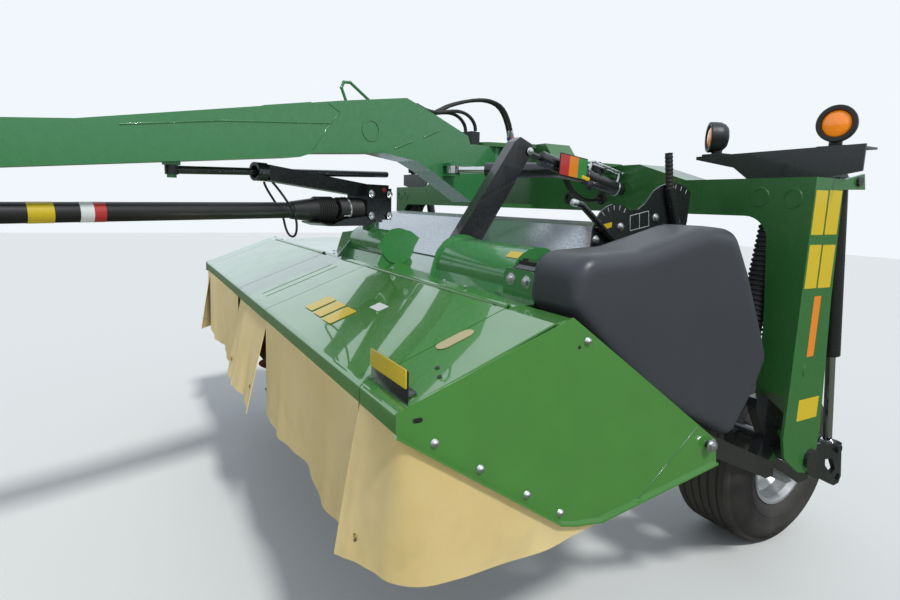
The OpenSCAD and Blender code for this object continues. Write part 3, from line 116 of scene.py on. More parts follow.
def blended(tree, share, a, b, way="MIX"):
    """A colour between two colours, each plain or from another node."""
    made = node(tree, "Mix", data_type="RGBA", blend_type=way)
    if isinstance(share, (int, float)):
        made.inputs["Factor"].default_value = share
    else:
        link(tree, share, made.inputs["Factor"])
    for slot, value in ((made.inputs[6], a), (made.inputs[7], b)):
        if isinstance(value, tuple):
            slot.default_value = value
        else:
            link(tree, value, slot)
    return made.outputs[2]


def height_of(tree, place):
    made = node(tree, "SeparateXYZ")
    link(tree, place, made.inputs[0])
    return made.outputs["Z"]


def plain_material(name):
    """A new material, its node tree and its shader."""
    paint = bpy.data.materials.new(name)
    paint.use_nodes = True
    return paint, paint.node_tree, paint.node_tree.nodes["Principled BSDF"]


bpy.ops.object.select_all(action="DESELECT")
bpy.ops.mesh.primitive_plane_add(size=60.0, location=(0, 0, 0))
floor = bpy.context.object
floor.name = "studio_floor"
floor_paint, tree, shader = plain_material("studio_floor")
shader.inputs["Roughness"].default_value = 0.9
mirrored = node(tree, "LightPath").outputs["Is Glossy Ray"]
link(tree, blended(tree, mirrored, floor_colour, floor_mirrored), shader.inputs["Base Color"])
floor.data.materials.append(floor_paint)
world = bpy.data.worlds.new("studio")
bpy.context.scene.world = world
world.use_nodes = True
sky = world.node_tree
sky_light = sky.nodes["Background"]
preset(sky_light, {"Color": sky_colour, "Strength": sky_strength})
sky_seen = node(sky, "Background")
above_trees = spread(sky, height_of(sky, node(sky, "TexCoord").outputs["Generated"]), 0.01, 0.10)
ray_kind = node(sky, "LightPath")
field_mirrored = blended(sky, above_trees, horizon_mirrored, sky_mirrored)
link(sky, blended(sky, ray_kind.outputs["Is Glossy Ray"], sky_behind, field_mirrored),
     sky_seen.inputs["Color"])
seen = ray_kind.outputs["Is Camera Ray"]
for kind in ("Is Glossy Ray", "Is Transmission Ray"):
    seen = combined(sky, seen, ray_kind.outputs[kind], "MAXIMUM")
sky_mix = node(sky, "MixShader")
for slot, output in zip(sky_mix.inputs, (seen, sky_light.outputs[0], sky_seen.outputs[0])):
    link(sky, output, slot)
link(sky, sky_mix.outputs[0], sky.nodes["World Output"].inputs["Surface"])
sun_data = bpy.data.lights.new("high_lamp", "SUN")
sun_data.energy = sun_strength
sun_data.angle = sun_width
sun = bpy.data.objects.new("high_lamp", sun_data)
sun.rotation_euler = sun_from.to_track_quat("Z", "Y").to_euler()
bpy.context.scene.collection.objects.link(sun)

# Gloss green paint over welded plate, on the drawbar, the cross beam, the legs and the yoke. Field
# dust lies on it, more of it low down, and the sprayed coat has a fine orange peel.
field_dust = (0.30, 0.26, 0.18)
age = bpy.data.node_groups.new("paint_age", "ShaderNodeTree")
for name, kind, value in (("Colour", "Color", (0.1, 0.1, 0.1, 1)),
                          ("Dust", "Color", (*field_dust, 1)),
                          ("Dust share", "Float", 0.2),
                          ("Grain", "Float", 60.0),
                          ("Roughness", "Float", 0.4)):
    socket = age.interface.new_socket(name=name, in_out="INPUT", socket_type="NodeSocket" + kind)
    socket.default_value = value
for name, kind in (("Colour", "Color"), ("Roughness", "Float"), ("Height", "Float")):
    age.interface.new_socket(name=name, in_out="OUTPUT", socket_type="NodeSocket" + kind)


def noise(tree, where, scale, detail):
    made = node(tree, "TexNoise")
    made.inputs["Detail"].default_value = detail
    if isinstance(scale, (int, float)):
        made.inputs["Scale"].default_value = scale
    else:
        link(tree, scale, made.inputs["Scale"])
    link(tree, where, made.inputs["Vector"])
    return made.outputs["Fac"]


given = age.nodes.new("NodeGroupInput")
result = age.nodes.new("NodeGroupOutput")
place = node(age, "TexCoord").outputs["Object"]
cloudy = noise(age, place, 1.7, 6.0)
fine = noise(age, place, given.outputs["Grain"], 3.0)
speck = noise(age, place, 230.0, 2.0)
low_down = spread(age, height_of(age, place), 1.3, 0.2, 0.25, 1.0)
patchy = spread(age, combined(age, cloudy, combined(age, speck, 0.25, "MULTIPLY")), 0.5, 0.8)
lying = combined(age, patchy, low_down, "MULTIPLY")
dust = combined(age, lying, given.outputs["Dust share"], "MULTIPLY")
shade = blended(age, 1.0, given.outputs["Colour"], (0.62, 0.62, 0.62, 1), "MULTIPLY")
shaded = blended(age, spread(age, fine, 0.3, 0.7, 0.0, 0.22), given.outputs["Colour"], shade)
link(age, blended(age, dust, shaded, given.outputs["Dust"]), result.inputs["Colour"])
rough = combined(age, given.outputs["Roughness"], spread(age, fine, 0.3, 0.7, -0.04, 0.05))
link(age, combined(age, rough, combined(age, dust, 0.5, "MULTIPLY")), result.inputs["Roughness"])
link(age, combined(age, fine, combined(age, speck, 0.3, "MULTIPLY")), result.inputs["Height"])


def emboss(tree, shader, height, distance, strength):
    """Gives a material its relief."""
    relief = node(tree, "Bump")
    preset(relief, {"Distance": distance, "Strength": strength})
    link(tree, height, relief.inputs["Height"])
    link(tree, relief.outputs["Normal"], shader.inputs["Normal"])


def finish(name, colour, roughness, dust_share, grain, bump=0.0004, metallic=0.0, coat=0.0,
           coat_roughness=0.06, dust=field_dust):
    """A material whose colour, gloss and relief vary as a used surface's do."""
    paint, tree, shader = plain_material(name)
    preset(shader, {"Metallic": metallic, "Coat Weight": coat, "Coat Roughness": coat_roughness})
    aged = node(tree, "Group", node_tree=age)
    preset(aged, {"Colour": (*colour, 1), "Dust": (*dust, 1), "Dust share": dust_share,
                  "Grain": grain, "Roughness": roughness})
    link(tree, aged.outputs["Colour"], shader.inputs["Base Color"])
    link(tree, aged.outputs["Roughness"], shader.inputs["Roughness"])
    emboss(tree, shader, aged.outputs["Height"], bump, 0.6)
    return paint


def dress(paint, *names):
    """Gives CAD nodes their finish."""
    for name in names:
        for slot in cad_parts[name].material_slots:
            slot.material = paint


frame_green = finish("frame_green", (0.028, 0.150, 0.030), 0.30, 0.09, 35.0, coat=0.55)
boom_green = finish("boom_green", (0.038, 0.205, 0.062), 0.26, 0.05, 30.0, coat=0.7)
dress(frame_green, "main_beam", "leg_left", "leg_right", "hitch_yoke")
dress(boom_green, "drawbar")

# Black finishes: gloss paint on the castings and the lift arm, grained plastic on guards and
# housings, rubber on hoses, boot and springs. Rods slide as bright chrome, bolts are zinc-plated,
# and the cutter bar and the jack are dark bare steel.
black_paint = finish("black_paint", (0.012, 0.013, 0.015), 0.28, 0.10, 50.0, coat=0.5,
                     dust=(0.22, 0.20, 0.16))
dark_steel = finish("dark_steel", (0.035, 0.035, 0.037), 0.45, 0.35, 40.0)
black_plastic = finish("black_plastic", (0.014, 0.0145, 0.016), 0.42, 0.12, 180.0, bump=0.0006)
black_rubber = finish("black_rubber", (0.012, 0.012, 0.012), 0.6, 0.16, 120.0, bump=0.0006)
chrome = finish("rod_chrome", (0.74, 0.75, 0.77), 0.09, 0.04, 90.0, metallic=1.0, bump=0.0001)
zinc = finish("zinc_bolt", (0.66, 0.67, 0.68), 0.28, 0.08, 140.0, metallic=0.9, bump=0.0002)
dress(black_paint, "light_brackets", "lift_arm", "tie_cylinder", "quadrant", "lower_links",
      "rocker_cranks", "swivel_gearbox", "steering_rod", "wheel_arm_left", "wheel_arm_right",
      "swing_barrel", "lift_barrel_left", "lift_barrel_right", "belt_gearbox")
dress(black_plastic, "shaft_rear", "shaft_front", "tractor_shaft", "valve_block")
dress(black_rubber, "joint_boot", "relief_springs", "hoses")
dress(chrome, "swing_rod", "lift_rod_left", "lift_rod_right")
dress(dark_steel, "cutter_bar", "conditioner_sides", "jack_leg")

# Hood: pressed steel sheets in a brighter green, under a deep gloss coat that shows the sky. The
# guards over the drive, on the deck behind the lids, are painted a cooler green.
hood_green = finish("hood_green", (0.060, 0.245, 0.035), 0.22, 0.04, 6.0, bump=0.0003, coat=1.0,
                    coat_roughness=0.03)
preset(hood_green.node_tree.nodes["Principled BSDF"], {"Coat IOR": 2.1})
dress(hood_green, "hood_deck", "end_sections", "lid_left", "lid_right")
guard_green = finish("guard_green", (0.045, 0.235, 0.060), 0.25, 0.05, 20.0, coat=0.8)
dress(guard_green, "drive_guards")

# Mowing gear: red cutting discs dulled by the crop, a bare tined rotor, and a zinc-coated sheet
# over the chute whose crystals show.
disc_red = finish("disc_red", (0.28, 0.025, 0.015), 0.4, 0.5, 45.0)
dress(disc_red, *[f"disc_{i}" for i in range(1, 9)])
bare_steel = finish("bare_steel", (0.30, 0.29, 0.28), 0.5, 0.4, 70.0, metallic=0.7)
dress(bare_steel, "tine_rotor")
zinc_pale, zinc_mid, zinc_dark = (0.60, 0.63, 0.66, 1), (0.44, 0.47, 0.50, 1), (0.30, 0.34, 0.38, 1)
zinc_sheet, tree, shader = plain_material("zinc_sheet")
shader.inputs["Metallic"].default_value = 0.9
place = node(tree, "TexCoord").outputs["Object"]
crystals = node(tree, "TexVoronoi")
crystals.inputs["Scale"].default_value = 75.0
link(tree, place, crystals.inputs["Vector"])
bent = node(tree, "Mapping")
bent.inputs["Scale"].default_value = (0.5, 1.0, 1.0)
link(tree, place, bent.inputs["Vector"])
waves = noise(tree, bent.outputs["Vector"], 2.2, 2.0)
grains = crystals.outputs["Distance"]
bright = blended(tree, spread(tree, grains, 0.0, 0.6), zinc_pale, zinc_mid)
link(tree, blended(tree, spread(tree, waves, 0.55, 0.75, 0, 0.5), bright, zinc_dark),
     shader.inputs["Base Color"])
link(tree, spread(tree, grains, 0.0, 0.6, 0.16, 0.27), shader.inputs["Roughness"])
emboss(tree, shader, waves, 0.02, 0.35)
dress(zinc_sheet, "conditioner_cover")

# Bolts and pins that show: zinc-plated hex heads on a washer with the end of the thread, and round
# coach bolt heads on the hood's end plates. One of each is modelled at unit size, copied to every
# place and joined into one piece for each body.
swing = math.radians(13)
gear_s, ball_s = 0.834, 2.0
gear_turn = math.atan2(ball_s * math.sin(swing), ball_s * math.cos(swing) - gear_s)


def spot(x, y, z):
    """A place on the machine, counted fore and aft from the drawbar's pivot."""
    return Vector((x, y + pivot_y, z))


def on_drawbar(x, s, z):
    """A place on the drawbar: x across it, s forward of its pivot."""
    return spot(x * math.cos(swing) + s * math.sin(swing),
                x * math.sin(swing) - s * math.cos(swing), z)


def on_gearbox(x, s, z):
    """A place on the swivel gearbox: s forward of its own upright axis."""
    return spot(x * math.cos(gear_turn) + s * math.sin(gear_turn),
                x * math.sin(gear_turn) - s * math.cos(gear_turn) - gear_s, z)


def apply_all(piece):
    for modifier in [m.name for m in piece.modifiers]:
        bpy.ops.object.modifier_apply(modifier=modifier)


def start():
    """Object mode, with nothing selected."""
    if bpy.context.object and bpy.context.object.mode != "OBJECT":
        bpy.ops.object.mode_set(mode="OBJECT")
    bpy.ops.object.select_all(action="DESELECT")


def alone(piece):
    start()
    piece.select_set(True)
    bpy.context.view_layer.objects.active = piece


def settle(piece, name, paint, body, angle=35):
    """Puts a piece's place into its mesh, names it, and gives it its finish and its body."""
    alone(piece)
    apply_all(piece)
    bpy.ops.object.transform_apply(location=True, rotation=True, scale=True)
    bpy.ops.object.shade_smooth_by_angle(angle=math.radians(angle))
    piece.name = name
    piece.data.name = name
    piece.data.materials.clear()
    piece.data.materials.append(paint)
    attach(piece, body)
    return piece


def joined(pieces):
    """One object out of several."""
    start()
    for piece in pieces:
        piece.select_set(True)
    bpy.context.view_layer.objects.active = pieces[0]
    bpy.ops.object.join()
    return bpy.context.object


def placed(point, axis):
    """The move that brings the origin to a point and the Z axis to another axis."""
    turning = Vector(axis).to_track_quat("Z", "Y").to_matrix().to_4x4()
    return Matrix.Translation(point) @ turning


def turned(profile, origin=(0, 0, 0), axis=(0, 0, 1), steps=48):
    """A closed outline of (along the axis, radius) spun round the axis through origin."""
    start()
    bpy.ops.mesh.primitive_circle_add(vertices=len(profile), radius=1.0, location=(0, 0, 0))
    piece = bpy.context.object
    for vertex, (along, radius) in zip(piece.data.vertices, profile):
        vertex.co = (radius, 0, along)
    bpy.ops.object.mode_set(mode="EDIT")
    bpy.ops.mesh.select_all(action="SELECT")
    bpy.ops.mesh.spin(steps=steps, angle=math.tau, center=(0, 0, 0), axis=(0, 0, 1))
    bpy.ops.mesh.select_all(action="SELECT")
    bpy.ops.mesh.remove_doubles(threshold=0.00005)
    bpy.ops.mesh.normals_make_consistent(inside=False)
    bpy.ops.object.mode_set(mode="OBJECT")
    piece.data.transform(placed(origin, axis))
    return piece


def arc(centre, radius, first, last, n):
    """Points (along, radius) round a centre, angles in degrees."""
    angles = [math.radians(first + (last - first) * i / n) for i in range(n + 1)]
    return [(centre[0] + radius * math.cos(a), centre[1] + radius * math.sin(a)) for a in angles]


def rounded(piece, width):
    rounding = piece.modifiers.new("edge", "BEVEL")
    rounding.width = width
    rounding.segments = 2
    return rounding


def bar(p, q, radius, edge, vertices):
    """A round bar between two points with broken edges."""
    start()
    bpy.ops.mesh.primitive_cylinder_add(
        vertices=vertices, radius=radius, depth=(q - p).length, location=(p + q) / 2,
        rotation=(q - p).to_track_quat("Z", "Y").to_euler())
    piece = bpy.context.object
    rounded(piece, edge).angle_limit = math.radians(50)
    apply_all(piece)
    return piece


def plate(centre, across, upward, thickness, corner, edge=0.0):
    """A flat plate with rounded corners, from its middle and its two full side vectors."""
    start()
    bpy.ops.mesh.primitive_plane_add(size=1.0)
    piece = bpy.context.object
    normal = across.cross(upward).normalized()
    corners = Matrix((across, upward, normal)).transposed().to_4x4()
    piece.data.transform(Matrix.Translation(centre) @ corners)
    bpy.ops.object.mode_set(mode="EDIT")
    bpy.ops.mesh.select_all(action="SELECT")
    bpy.ops.mesh.bevel(offset=corner, segments=3, affect="VERTICES")
    bpy.ops.object.mode_set(mode="OBJECT")
    thick = piece.modifiers.new("sheet", "SOLIDIFY")
    thick.thickness = thickness
    thick.offset = 1.0
    if edge:
        rounded(piece, edge)
    apply_all(piece)
    return piece


def copies(master, places):
    """Copies of a unit piece, each at (point, axis, size), joined into one object."""
    made = []
    for point, axis, size in places:
        piece = master.copy()
        piece.data = master.data.copy()
        bpy.context.scene.collection.objects.link(piece)
        piece.data.transform(placed(point, axis) @ Matrix.Scale(size, 4))
        made.append(piece)
    return joined(made)


start()
bpy.ops.mesh.primitive_cylinder_add(vertices=6, radius=1.0, depth=0.62, location=(0, 0, 0.46))
hex_head = bpy.context.object
bpy.ops.object.mode_set(mode="EDIT")
bpy.ops.mesh.select_all(action="SELECT")
bpy.ops.mesh.bevel(offset=0.09, segments=2, affect="EDGES")
bpy.ops.object.mode_set(mode="OBJECT")
bpy.ops.object.transform_apply(location=True)
washer = turned([(0, 0), (0.15, 0), (0.15, 1.3), (0.12, 1.36), (0, 1.36)], steps=24)
thread = turned([(0.7, 0), (0.86, 0), (0.86, 0.42), (0.82, 0.5), (0.7, 0.5)], steps=16)
hex_bolt = joined([hex_head, washer, thread])
dome = arc((0.0, 0.0), 1.0, 65, 8, 5)
coach_bolt = turned([(-0.1, 0.0), (0.62, 0.0)] + dome + [(-0.1, 1.0)], steps=24)

left, front, up = Vector((1, 0, 0)), Vector((0, -1, 0)), Vector((0, 0, 1))
gear_left = on_gearbox(1, 0, 0) - on_gearbox(0, 0, 0)
gear_front = on_gearbox(0, 1, 0) - on_gearbox(0, 0, 0)
sides = {1: "left", -1: "right"}
hood_half = 2.0
heads = [(spot(side * hood_half, y, z), left * side, 0.0135) for side in sides for y, z in (
    (-1.433, 1.239), (-1.280, 1.131), (-1.105, 1.009), (-0.966, 0.913), (-0.896, 1.477))]
settle(copies(coach_bolt, heads), "end_plate_bolts", zinc, "frame")
link_bolts = [(spot(side * (hood_half + 0.02), -0.255, 1.015), left * side, 0.019)
              for side in sides]
bracket_bolts = [(spot(x, -0.904, 1.622), front, 0.017) for x in (1.585, 1.680)]
deck_bolts = [(spot(x, y, z), up, 0.008) for x, y, z in (
    (1.30, -0.93, 1.555), (1.12, -0.93, 1.555), (0.60, -0.95, 1.554), (-0.42, -0.93, 1.555),
    (-0.30, -0.6, 1.576))]
gear_bolts = [(on_gearbox(0.0955, s, z), gear_left, 0.016)
              for s in (0.086, -0.062) for z in (1.808, 1.935)]
settle(copies(hex_bolt, link_bolts + bracket_bolts + deck_bolts), "frame_bolts", zinc, "frame")
settle(copies(hex_bolt, gear_bolts), "gearbox_bolts", zinc, "gearbox")

# Curtains of coated yellow cloth against thrown stones. They hang from the lids, the middle strip
# and the hood's ends in loose folds, with a brass eyelet near some corners.
cloth_pale, cloth_deep = (0.94, 0.72, 0.30, 1), (0.88, 0.64, 0.22, 1)
cloth_grime, cloth_gaps = (0.36, 0.27, 0.12, 1), (0.45, 0.33, 0.12, 1)
cloth, tree, shader = plain_material("curtain_cloth")
preset(shader, {"Sheen Weight": 0.25, "Specular IOR Level": 0.35})
uv = node(tree, "TexCoord").outputs["UV"]
weave = []
for direction in ("X", "Y"):
    threads = node(tree, "TexWave", bands_direction=direction)
    preset(threads, {"Scale": 140.0, "Distortion": 0.6})
    link(tree, uv, threads.inputs["Vector"])
    weave.append(threads.outputs["Fac"])
woven = combined(tree, weave[0], weave[1], "MULTIPLY")
place = node(tree, "TexCoord").outputs["Object"]
stained = noise(tree, place, 2.6, 6.0)
creased = noise(tree, place, 9.0, 5.0)
low_down = spread(tree, height_of(tree, place), 1.15, 0.8, 0.03, 0.2)
grimy = combined(tree, spread(tree, creased, 0.5, 0.72), low_down, "MULTIPLY")
colour = blended(tree, spread(tree, stained, 0.35, 0.7), cloth_pale, cloth_deep)
colour = blended(tree, grimy, colour, cloth_grime)
link(tree, blended(tree, spread(tree, woven, 0.0, 0.6, 0.1, 0.0), colour, cloth_gaps),
     shader.inputs["Base Color"])
link(tree, spread(tree, creased, 0.3, 0.7, 0.48, 0.62), shader.inputs["Roughness"])
emboss(tree, shader, combined(tree, woven, combined(tree, creased, 6.0, "MULTIPLY")), 0.0012, 0.7)

cloth_thick = 0.003
weave_per_metre = 4
lip_z = 1.283
lid_flat, centre_flat, corner_flat, corner_area = (1.314, 0.484), (0.754, 0.52), (1.15, 0.52), 0.40
lid_inner, lid_foot_z, lid_y = 0.408, 0.8035, -1.5515
centre_y, tuck = -1.5415, 0.1
end_inside = 1.9898


def wave(turns):
    return math.sin(math.tau * turns)


def fold(u, v, table):
    """Depth of the folds: rows of (waves across, phase, depth at the lower edge)."""
    return sum(depth * v**1.3 * wave(waves * u + phase) for waves, phase, depth in table)


def eased(keys, u):
    """The smooth value at u of rows (u, value, value, ...)."""
    k = next((k for k in range(len(keys) - 2) if u <= keys[k + 1][0]), len(keys) - 2)
    before, a = keys[max(k - 1, 0)], keys[k]
    b, after = keys[k + 1], keys[min(k + 2, len(keys) - 1)]
    span = b[0] - a[0]
    t = (u - a[0]) / span
    row = []
    for i in range(1, len(a)):
        slope_a = (b[i] - before[i]) / max(b[0] - before[0], span) * span
        slope_b = (after[i] - a[i]) / max(after[0] - a[0], span) * span
        row.append((2 * t**3 - 3 * t**2 + 1) * a[i] + (t**3 - 2 * t**2 + t) * slope_a
                   + (3 * t**2 - 2 * t**3) * b[i] + (t**3 - t**2) * slope_b)
    return row


def curtain(name, shape, size, body, node_name, columns):
    """A sheet whose point at (share across, share down) is given by shape."""
    start()
    bpy.ops.mesh.primitive_grid_add(x_subdivisions=columns, y_subdivisions=44, size=1.0)
    piece = bpy.context.object
    for loop in piece.data.uv_layers.active.data:
        loop.uv = [share * length * weave_per_metre for share, length in zip(loop.uv, size)]
    for vertex in piece.data.vertices:
        vertex.co = shape(vertex.co.x + 0.5, 0.5 - vertex.co.y)
    thick = piece.modifiers.new("cloth", "SOLIDIFY")
    thick.thickness = cloth_thick
    thick.offset = 0.0
    settle(piece, name, cloth, body, 60)
    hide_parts(node_name)


for side, side_name in sides.items():
    def lid_shape(u, v):
        x = lid_inner + lid_flat[0] * u + 0.004 * v * wave(3.2 * u)
        y = lid_y - 0.010 * v + fold(u, v, ((2.3, 0.05, 0.011), (5.7, 0.3, 0.0045),
                                            (1.1, 0.6, 0.010)))
        return spot(side * x, y, lip_z - v * (lip_z - lid_foot_z) - 0.012 * v * wave(1.5 * u + 0.1))
    hung = f"lid_curtain_{side_name}"
    curtain(f"lid_cloth_{side_name}", lid_shape, lid_flat, hung, hung, 150)


def centre_shape(u, v):
    if v < tuck:
        y, z = centre_y, lip_z + 0.037 - 0.06 * v / tuck
    else:
        w = (v - tuck) / (1 - tuck)
        y = centre_y - 0.100 * w**0.9
        z = lip_z - 0.023 - 0.448 * w - 0.012 * w * wave(0.9 * u + 0.2)
    y += fold(u, v, ((1.6, 0.1, 0.012), (4.1, 0.5, 0.005)))
    return spot(centre_flat[0] * (u - 0.5), y, z)


curtain("centre_cloth", centre_shape, centre_flat, "frame", "centre_curtain", 90)

# Columns: share across, then X, Y, Z at the top and X, Y, Z at the lower edge.
corner_columns = [
    (0.00, 1.731, -1.5415, 1.318, 1.736, -1.640, 0.812),
    (0.10, 1.830, -1.5415, 1.318, 1.800, -1.592, 0.806),
    (0.20, 1.930, -1.5410, 1.316, 1.880, -1.560, 0.802),
    (0.27, 1.986, -1.5300, 1.305, 1.950, -1.505, 0.801),
    (0.33, 1.9895, -1.470, 1.262, 1.9865, -1.440, 0.802),
    (0.50, 1.9895, -1.290, 1.142, 1.9885, -1.250, 0.784),
    (0.74, 1.9895, -1.060, 0.985, 1.9885, -1.030, 0.788),
    (0.90, 1.9895, -0.925, 0.900, 1.9895, -0.900, 0.806),
    (1.00, 1.9895, -0.830, 0.862, 1.9895, -0.790, 0.816),
]
for side, side_name in sides.items():
    def corner_shape(u, v):
        x0, y0, z0, x1, y1, z1 = eased(corner_columns, u)
        share = v + 0.10 * math.sin(math.pi * v) * math.exp(-((u - 0.2) / 0.16)**2)
        front_part = math.exp(-((u - 0.14) / 0.16)**2)
        deep = front_part * fold(u, v, ((5.0, 0.35, 0.009), (11, 0.1, 0.0025)))
        x = x0 + (x1 - x0) * share + deep * 0.5
        y = y0 + (y1 - y0) * share + deep
        z = z0 + (z1 - z0) * v + 0.006 * v * wave(2.2 * u)
        return spot(side * min(x, end_inside), y, z)
    curtain(f"corner_cloth_{side_name}", corner_shape, corner_flat, "frame", "side_curtains", 130)

eyelet = turned([(0.0, 0.55), (0.25, 0.55), (0.35, 0.75), (0.25, 1.0), (0.0, 1.0)], steps=20)
brass = finish("eyelet_brass", (0.33, 0.22, 0.08), 0.4, 0.3, 120.0, metallic=0.8)
eyelets = [(spot(*p), front, 0.013) for p in (
    (-0.30, -1.618, 0.92), (0.30, -1.618, 0.92), (1.80, -1.590, 0.89), (-1.80, -1.590, 0.89))]
settle(copies(eyelet, eyelets), "curtain_eyelets", brass, "frame")

# Belt cover: one thick blow-moulded shell of dark grey plastic with a soft grain and light scuffs.
# Its smooth skin is drawn over the construction's own form.
grey_plastic = finish("grey_plastic", (0.040, 0.043, 0.050), 0.36, 0.16, 320.0, bump=0.0005,
                      dust=(0.16, 0.16, 0.17))
start()
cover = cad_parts["belt_cover"].copy()
cover.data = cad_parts["belt_cover"].data.copy()
cover.parent = None
bpy.context.scene.collection.objects.link(cover)
cover.matrix_world = Matrix.Identity(4)
for key in list(cover.keys()):
    del cover[key]
alone(cover)
bpy.ops.object.mode_set(mode="EDIT")
bpy.ops.mesh.select_all(action="SELECT")
bpy.ops.mesh.remove_doubles(threshold=0.0001)
bpy.ops.object.mode_set(mode="OBJECT")
skin = cover.modifiers.new("skin", "REMESH")
skin.mode = "VOXEL"
skin.voxel_size = 0.011
soften = cover.modifiers.new("soften", "SMOOTH")
soften.factor = 0.5
soften.iterations = 14
settle(cover, "belt_cover_skin", grey_plastic, "frame", 180)
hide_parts("belt_cover")

# Wheels: pressed rims in silver paint, and ribbed implement tyres of dusty rubber with five grooves
# in the tread and stepped sidewalls.
rim_silver = finish("rim_silver", (0.52, 0.54, 0.56), 0.32, 0.3, 50.0, metallic=0.6)
dress(rim_silver, "rim_left", "rim_right")
rubber = finish("tyre_rubber", (0.016, 0.016, 0.0165), 0.62, 0.35, 55.0, bump=0.0012,
                dust=(0.17, 0.145, 0.11))
wheel_x = 1.395
tyre_r, tyre_half, rim_r = 0.480, 0.200, 0.236
groove_pitch = 0.054
groove = [(-0.0085, 0.001), (-0.0065, 0.011), (0.0065, 0.011), (0.0085, 0.001)]
tread = [(i * groove_pitch + along, tyre_r - deep) for i in range(-2, 3) for along, deep in groove]
shoulder = 0.072
half_side = [(0.150, tyre_r - 0.003), (0.164, tyre_r - 0.012), (0.168, tyre_r - 0.020)]
half_side += arc((tyre_half - shoulder, tyre_r - 0.092), shoulder, 55, 10, 4)
half_side += [(tyre_half, 0.372), (0.1985, 0.368), (0.1995, 0.330), (0.1965, 0.312),
              (0.1985, 0.308), (0.191, 0.275), (0.182, 0.262), (0.176, 0.254),
              (0.169, rim_r + 0.006), (0.144, rim_r - 0.0135)]
outline = [(-a, r) for a, r in reversed(half_side)] + tread + half_side
for side, side_name in sides.items():
    tyre = turned(outline, spot(side * wheel_x, axle_back, tyre_r), (side, 0, 0), 120)
    settle(tyre, f"tyre_skin_{side_name}", rubber, f"wheel_{side_name}", 28)
    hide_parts(f"tyre_{side_name}")

# Plates and decals, all blank: yellow on the hood and the leg, an orange stripe, pale ones on the
# hood, thin film stuck flat on the paint. Round black discs on the hood's sheets, painted shade
# for openings in them, and a yellow reflector on its own black bracket at the hood's front.
film = {
    "yellow": finish("film_yellow", (0.66, 0.47, 0.006), 0.35, 0.08, 90.0, coat=0.4),
    "white": finish("film_white", (0.74, 0.76, 0.74), 0.35, 0.10, 90.0, coat=0.4),
    "beige": finish("film_beige", (0.52, 0.44, 0.24), 0.4, 0.10, 90.0),
    "orange": finish("film_orange", (0.80, 0.24, 0.01), 0.32, 0.06, 90.0, coat=0.4),
    "red": finish("film_red", (0.50, 0.03, 0.03), 0.32, 0.06, 90.0, coat=0.4),
    "green": finish("film_green", (0.035, 0.26, 0.05), 0.32, 0.06, 90.0, coat=0.4),
}
film_thick, film_lift = 0.0006, 0.0004
hood_rise, hood_lip_y, hood_lip_z = 0.376, -1.55, 1.345
hood_up = Vector((0, 1, hood_rise)).normalized()
leg_face = 2.011
reflector_x = 1.862


def on_hood(x, y, lift=film_lift):
    """A place on the hood's sloping sheet."""
    return spot(x, y, hood_lip_z + (y - hood_lip_y) * hood_rise + lift)


def hood_film(x, y, width, length, corner):
    return plate(on_hood(x, y), left * width, hood_up * length, film_thick, corner)


def side_film(x, y, z, width, height, corner=0.004):
    return plate(spot(x, y, z), -front * width, up * height, film_thick, corner)


def leg_film(y, z, width, height):
    return side_film(leg_face + film_lift, y, z, width, height)


lid_marks = [hood_film(x, y, 0.115, 0.125, 0.008)
             for x, y in ((0.715, -1.365), (0.860, -1.368), (1.005, -1.372))]
settle(joined(lid_marks), "hood_decals", film["yellow"], "lid_left")
hood_label = hood_film(1.131, -1.243, 0.10, 0.050, 0.005)
settle(hood_label, "hood_label", film["white"], "lid_left")
oval_label = hood_film(1.761, -1.239, 0.058, 0.140, 0.028)
settle(oval_label, "hood_oval_label", film["beige"], "frame")
leg_marks = [leg_film(0.280, 1.895, 0.084, 0.176), leg_film(0.3785, 1.897, 0.090, 0.178),
             leg_film(0.2825, 1.678, 0.084, 0.178), leg_film(0.3815, 1.677, 0.092, 0.178)]
settle(joined(leg_marks), "leg_decals", film["yellow"], "frame")
leg_stripe = leg_film(0.347, 1.425, 0.050, 0.258)
settle(leg_stripe, "leg_stripe", film["orange"], "frame")
low_label = leg_film(0.385, 1.060, 0.150, 0.095)
settle(low_label, "leg_low_label", film["yellow"], "frame")
# Black discs of painted shade stand in for the openings in the hood's sheets.
hole_shade_discs = [hood_film(x, y, 0.016, 0.016, 0.0079)
         for x, y in ((1.936, -1.388), (1.880, -1.366), (1.945, -1.490))]
hole_shade_discs += [side_film(hood_half + 0.0002, -1.486, 1.313, 0.030, 0.014, 0.0068),
          side_film(hood_half + 0.0002, -0.928, 1.460, 0.012, 0.012, 0.0059)]
settle(joined(hole_shade_discs), "hood_hole_painted_shade", black_plastic, "frame")
reflector = plate(spot(reflector_x, -1.5145, 1.428), left * 0.255, up * 0.054, 0.004, 0.004, 0.001)
settle(reflector, "front_reflector", film["yellow"], "frame")
holder = [plate(spot(reflector_x, -1.5105, 1.405), left * 0.262, up * 0.096, 0.003, 0.006, 0.0008),
          plate(on_hood(reflector_x, -1.489, 0.0005), left * 0.20, hood_up * 0.044, 0.003, 0.006,
                0.0008)]
settle(joined(holder), "reflector_bracket", black_paint, "frame")
guard_r, guard_tilt = 0.1345, math.radians(40)
guard_along = Vector((0, math.cos(guard_tilt), math.sin(guard_tilt)))
guard_out = Vector((0, -math.sin(guard_tilt), math.cos(guard_tilt)))
guard_label = plate(spot(1.505, -0.750, 1.600) + guard_out * guard_r, left * 0.080,
                    guard_along * 0.034, 0.001, 0.003)
settle(guard_label, "guard_label", film["yellow"], "frame")

# Welds and folds of the frame: the bead round the drawbar's side plate and its long fold, beads on
# the leg and the end plates, tube rings on the beam, and the flat service lid on top of the
# drawbar.
boom_side = 0.0902


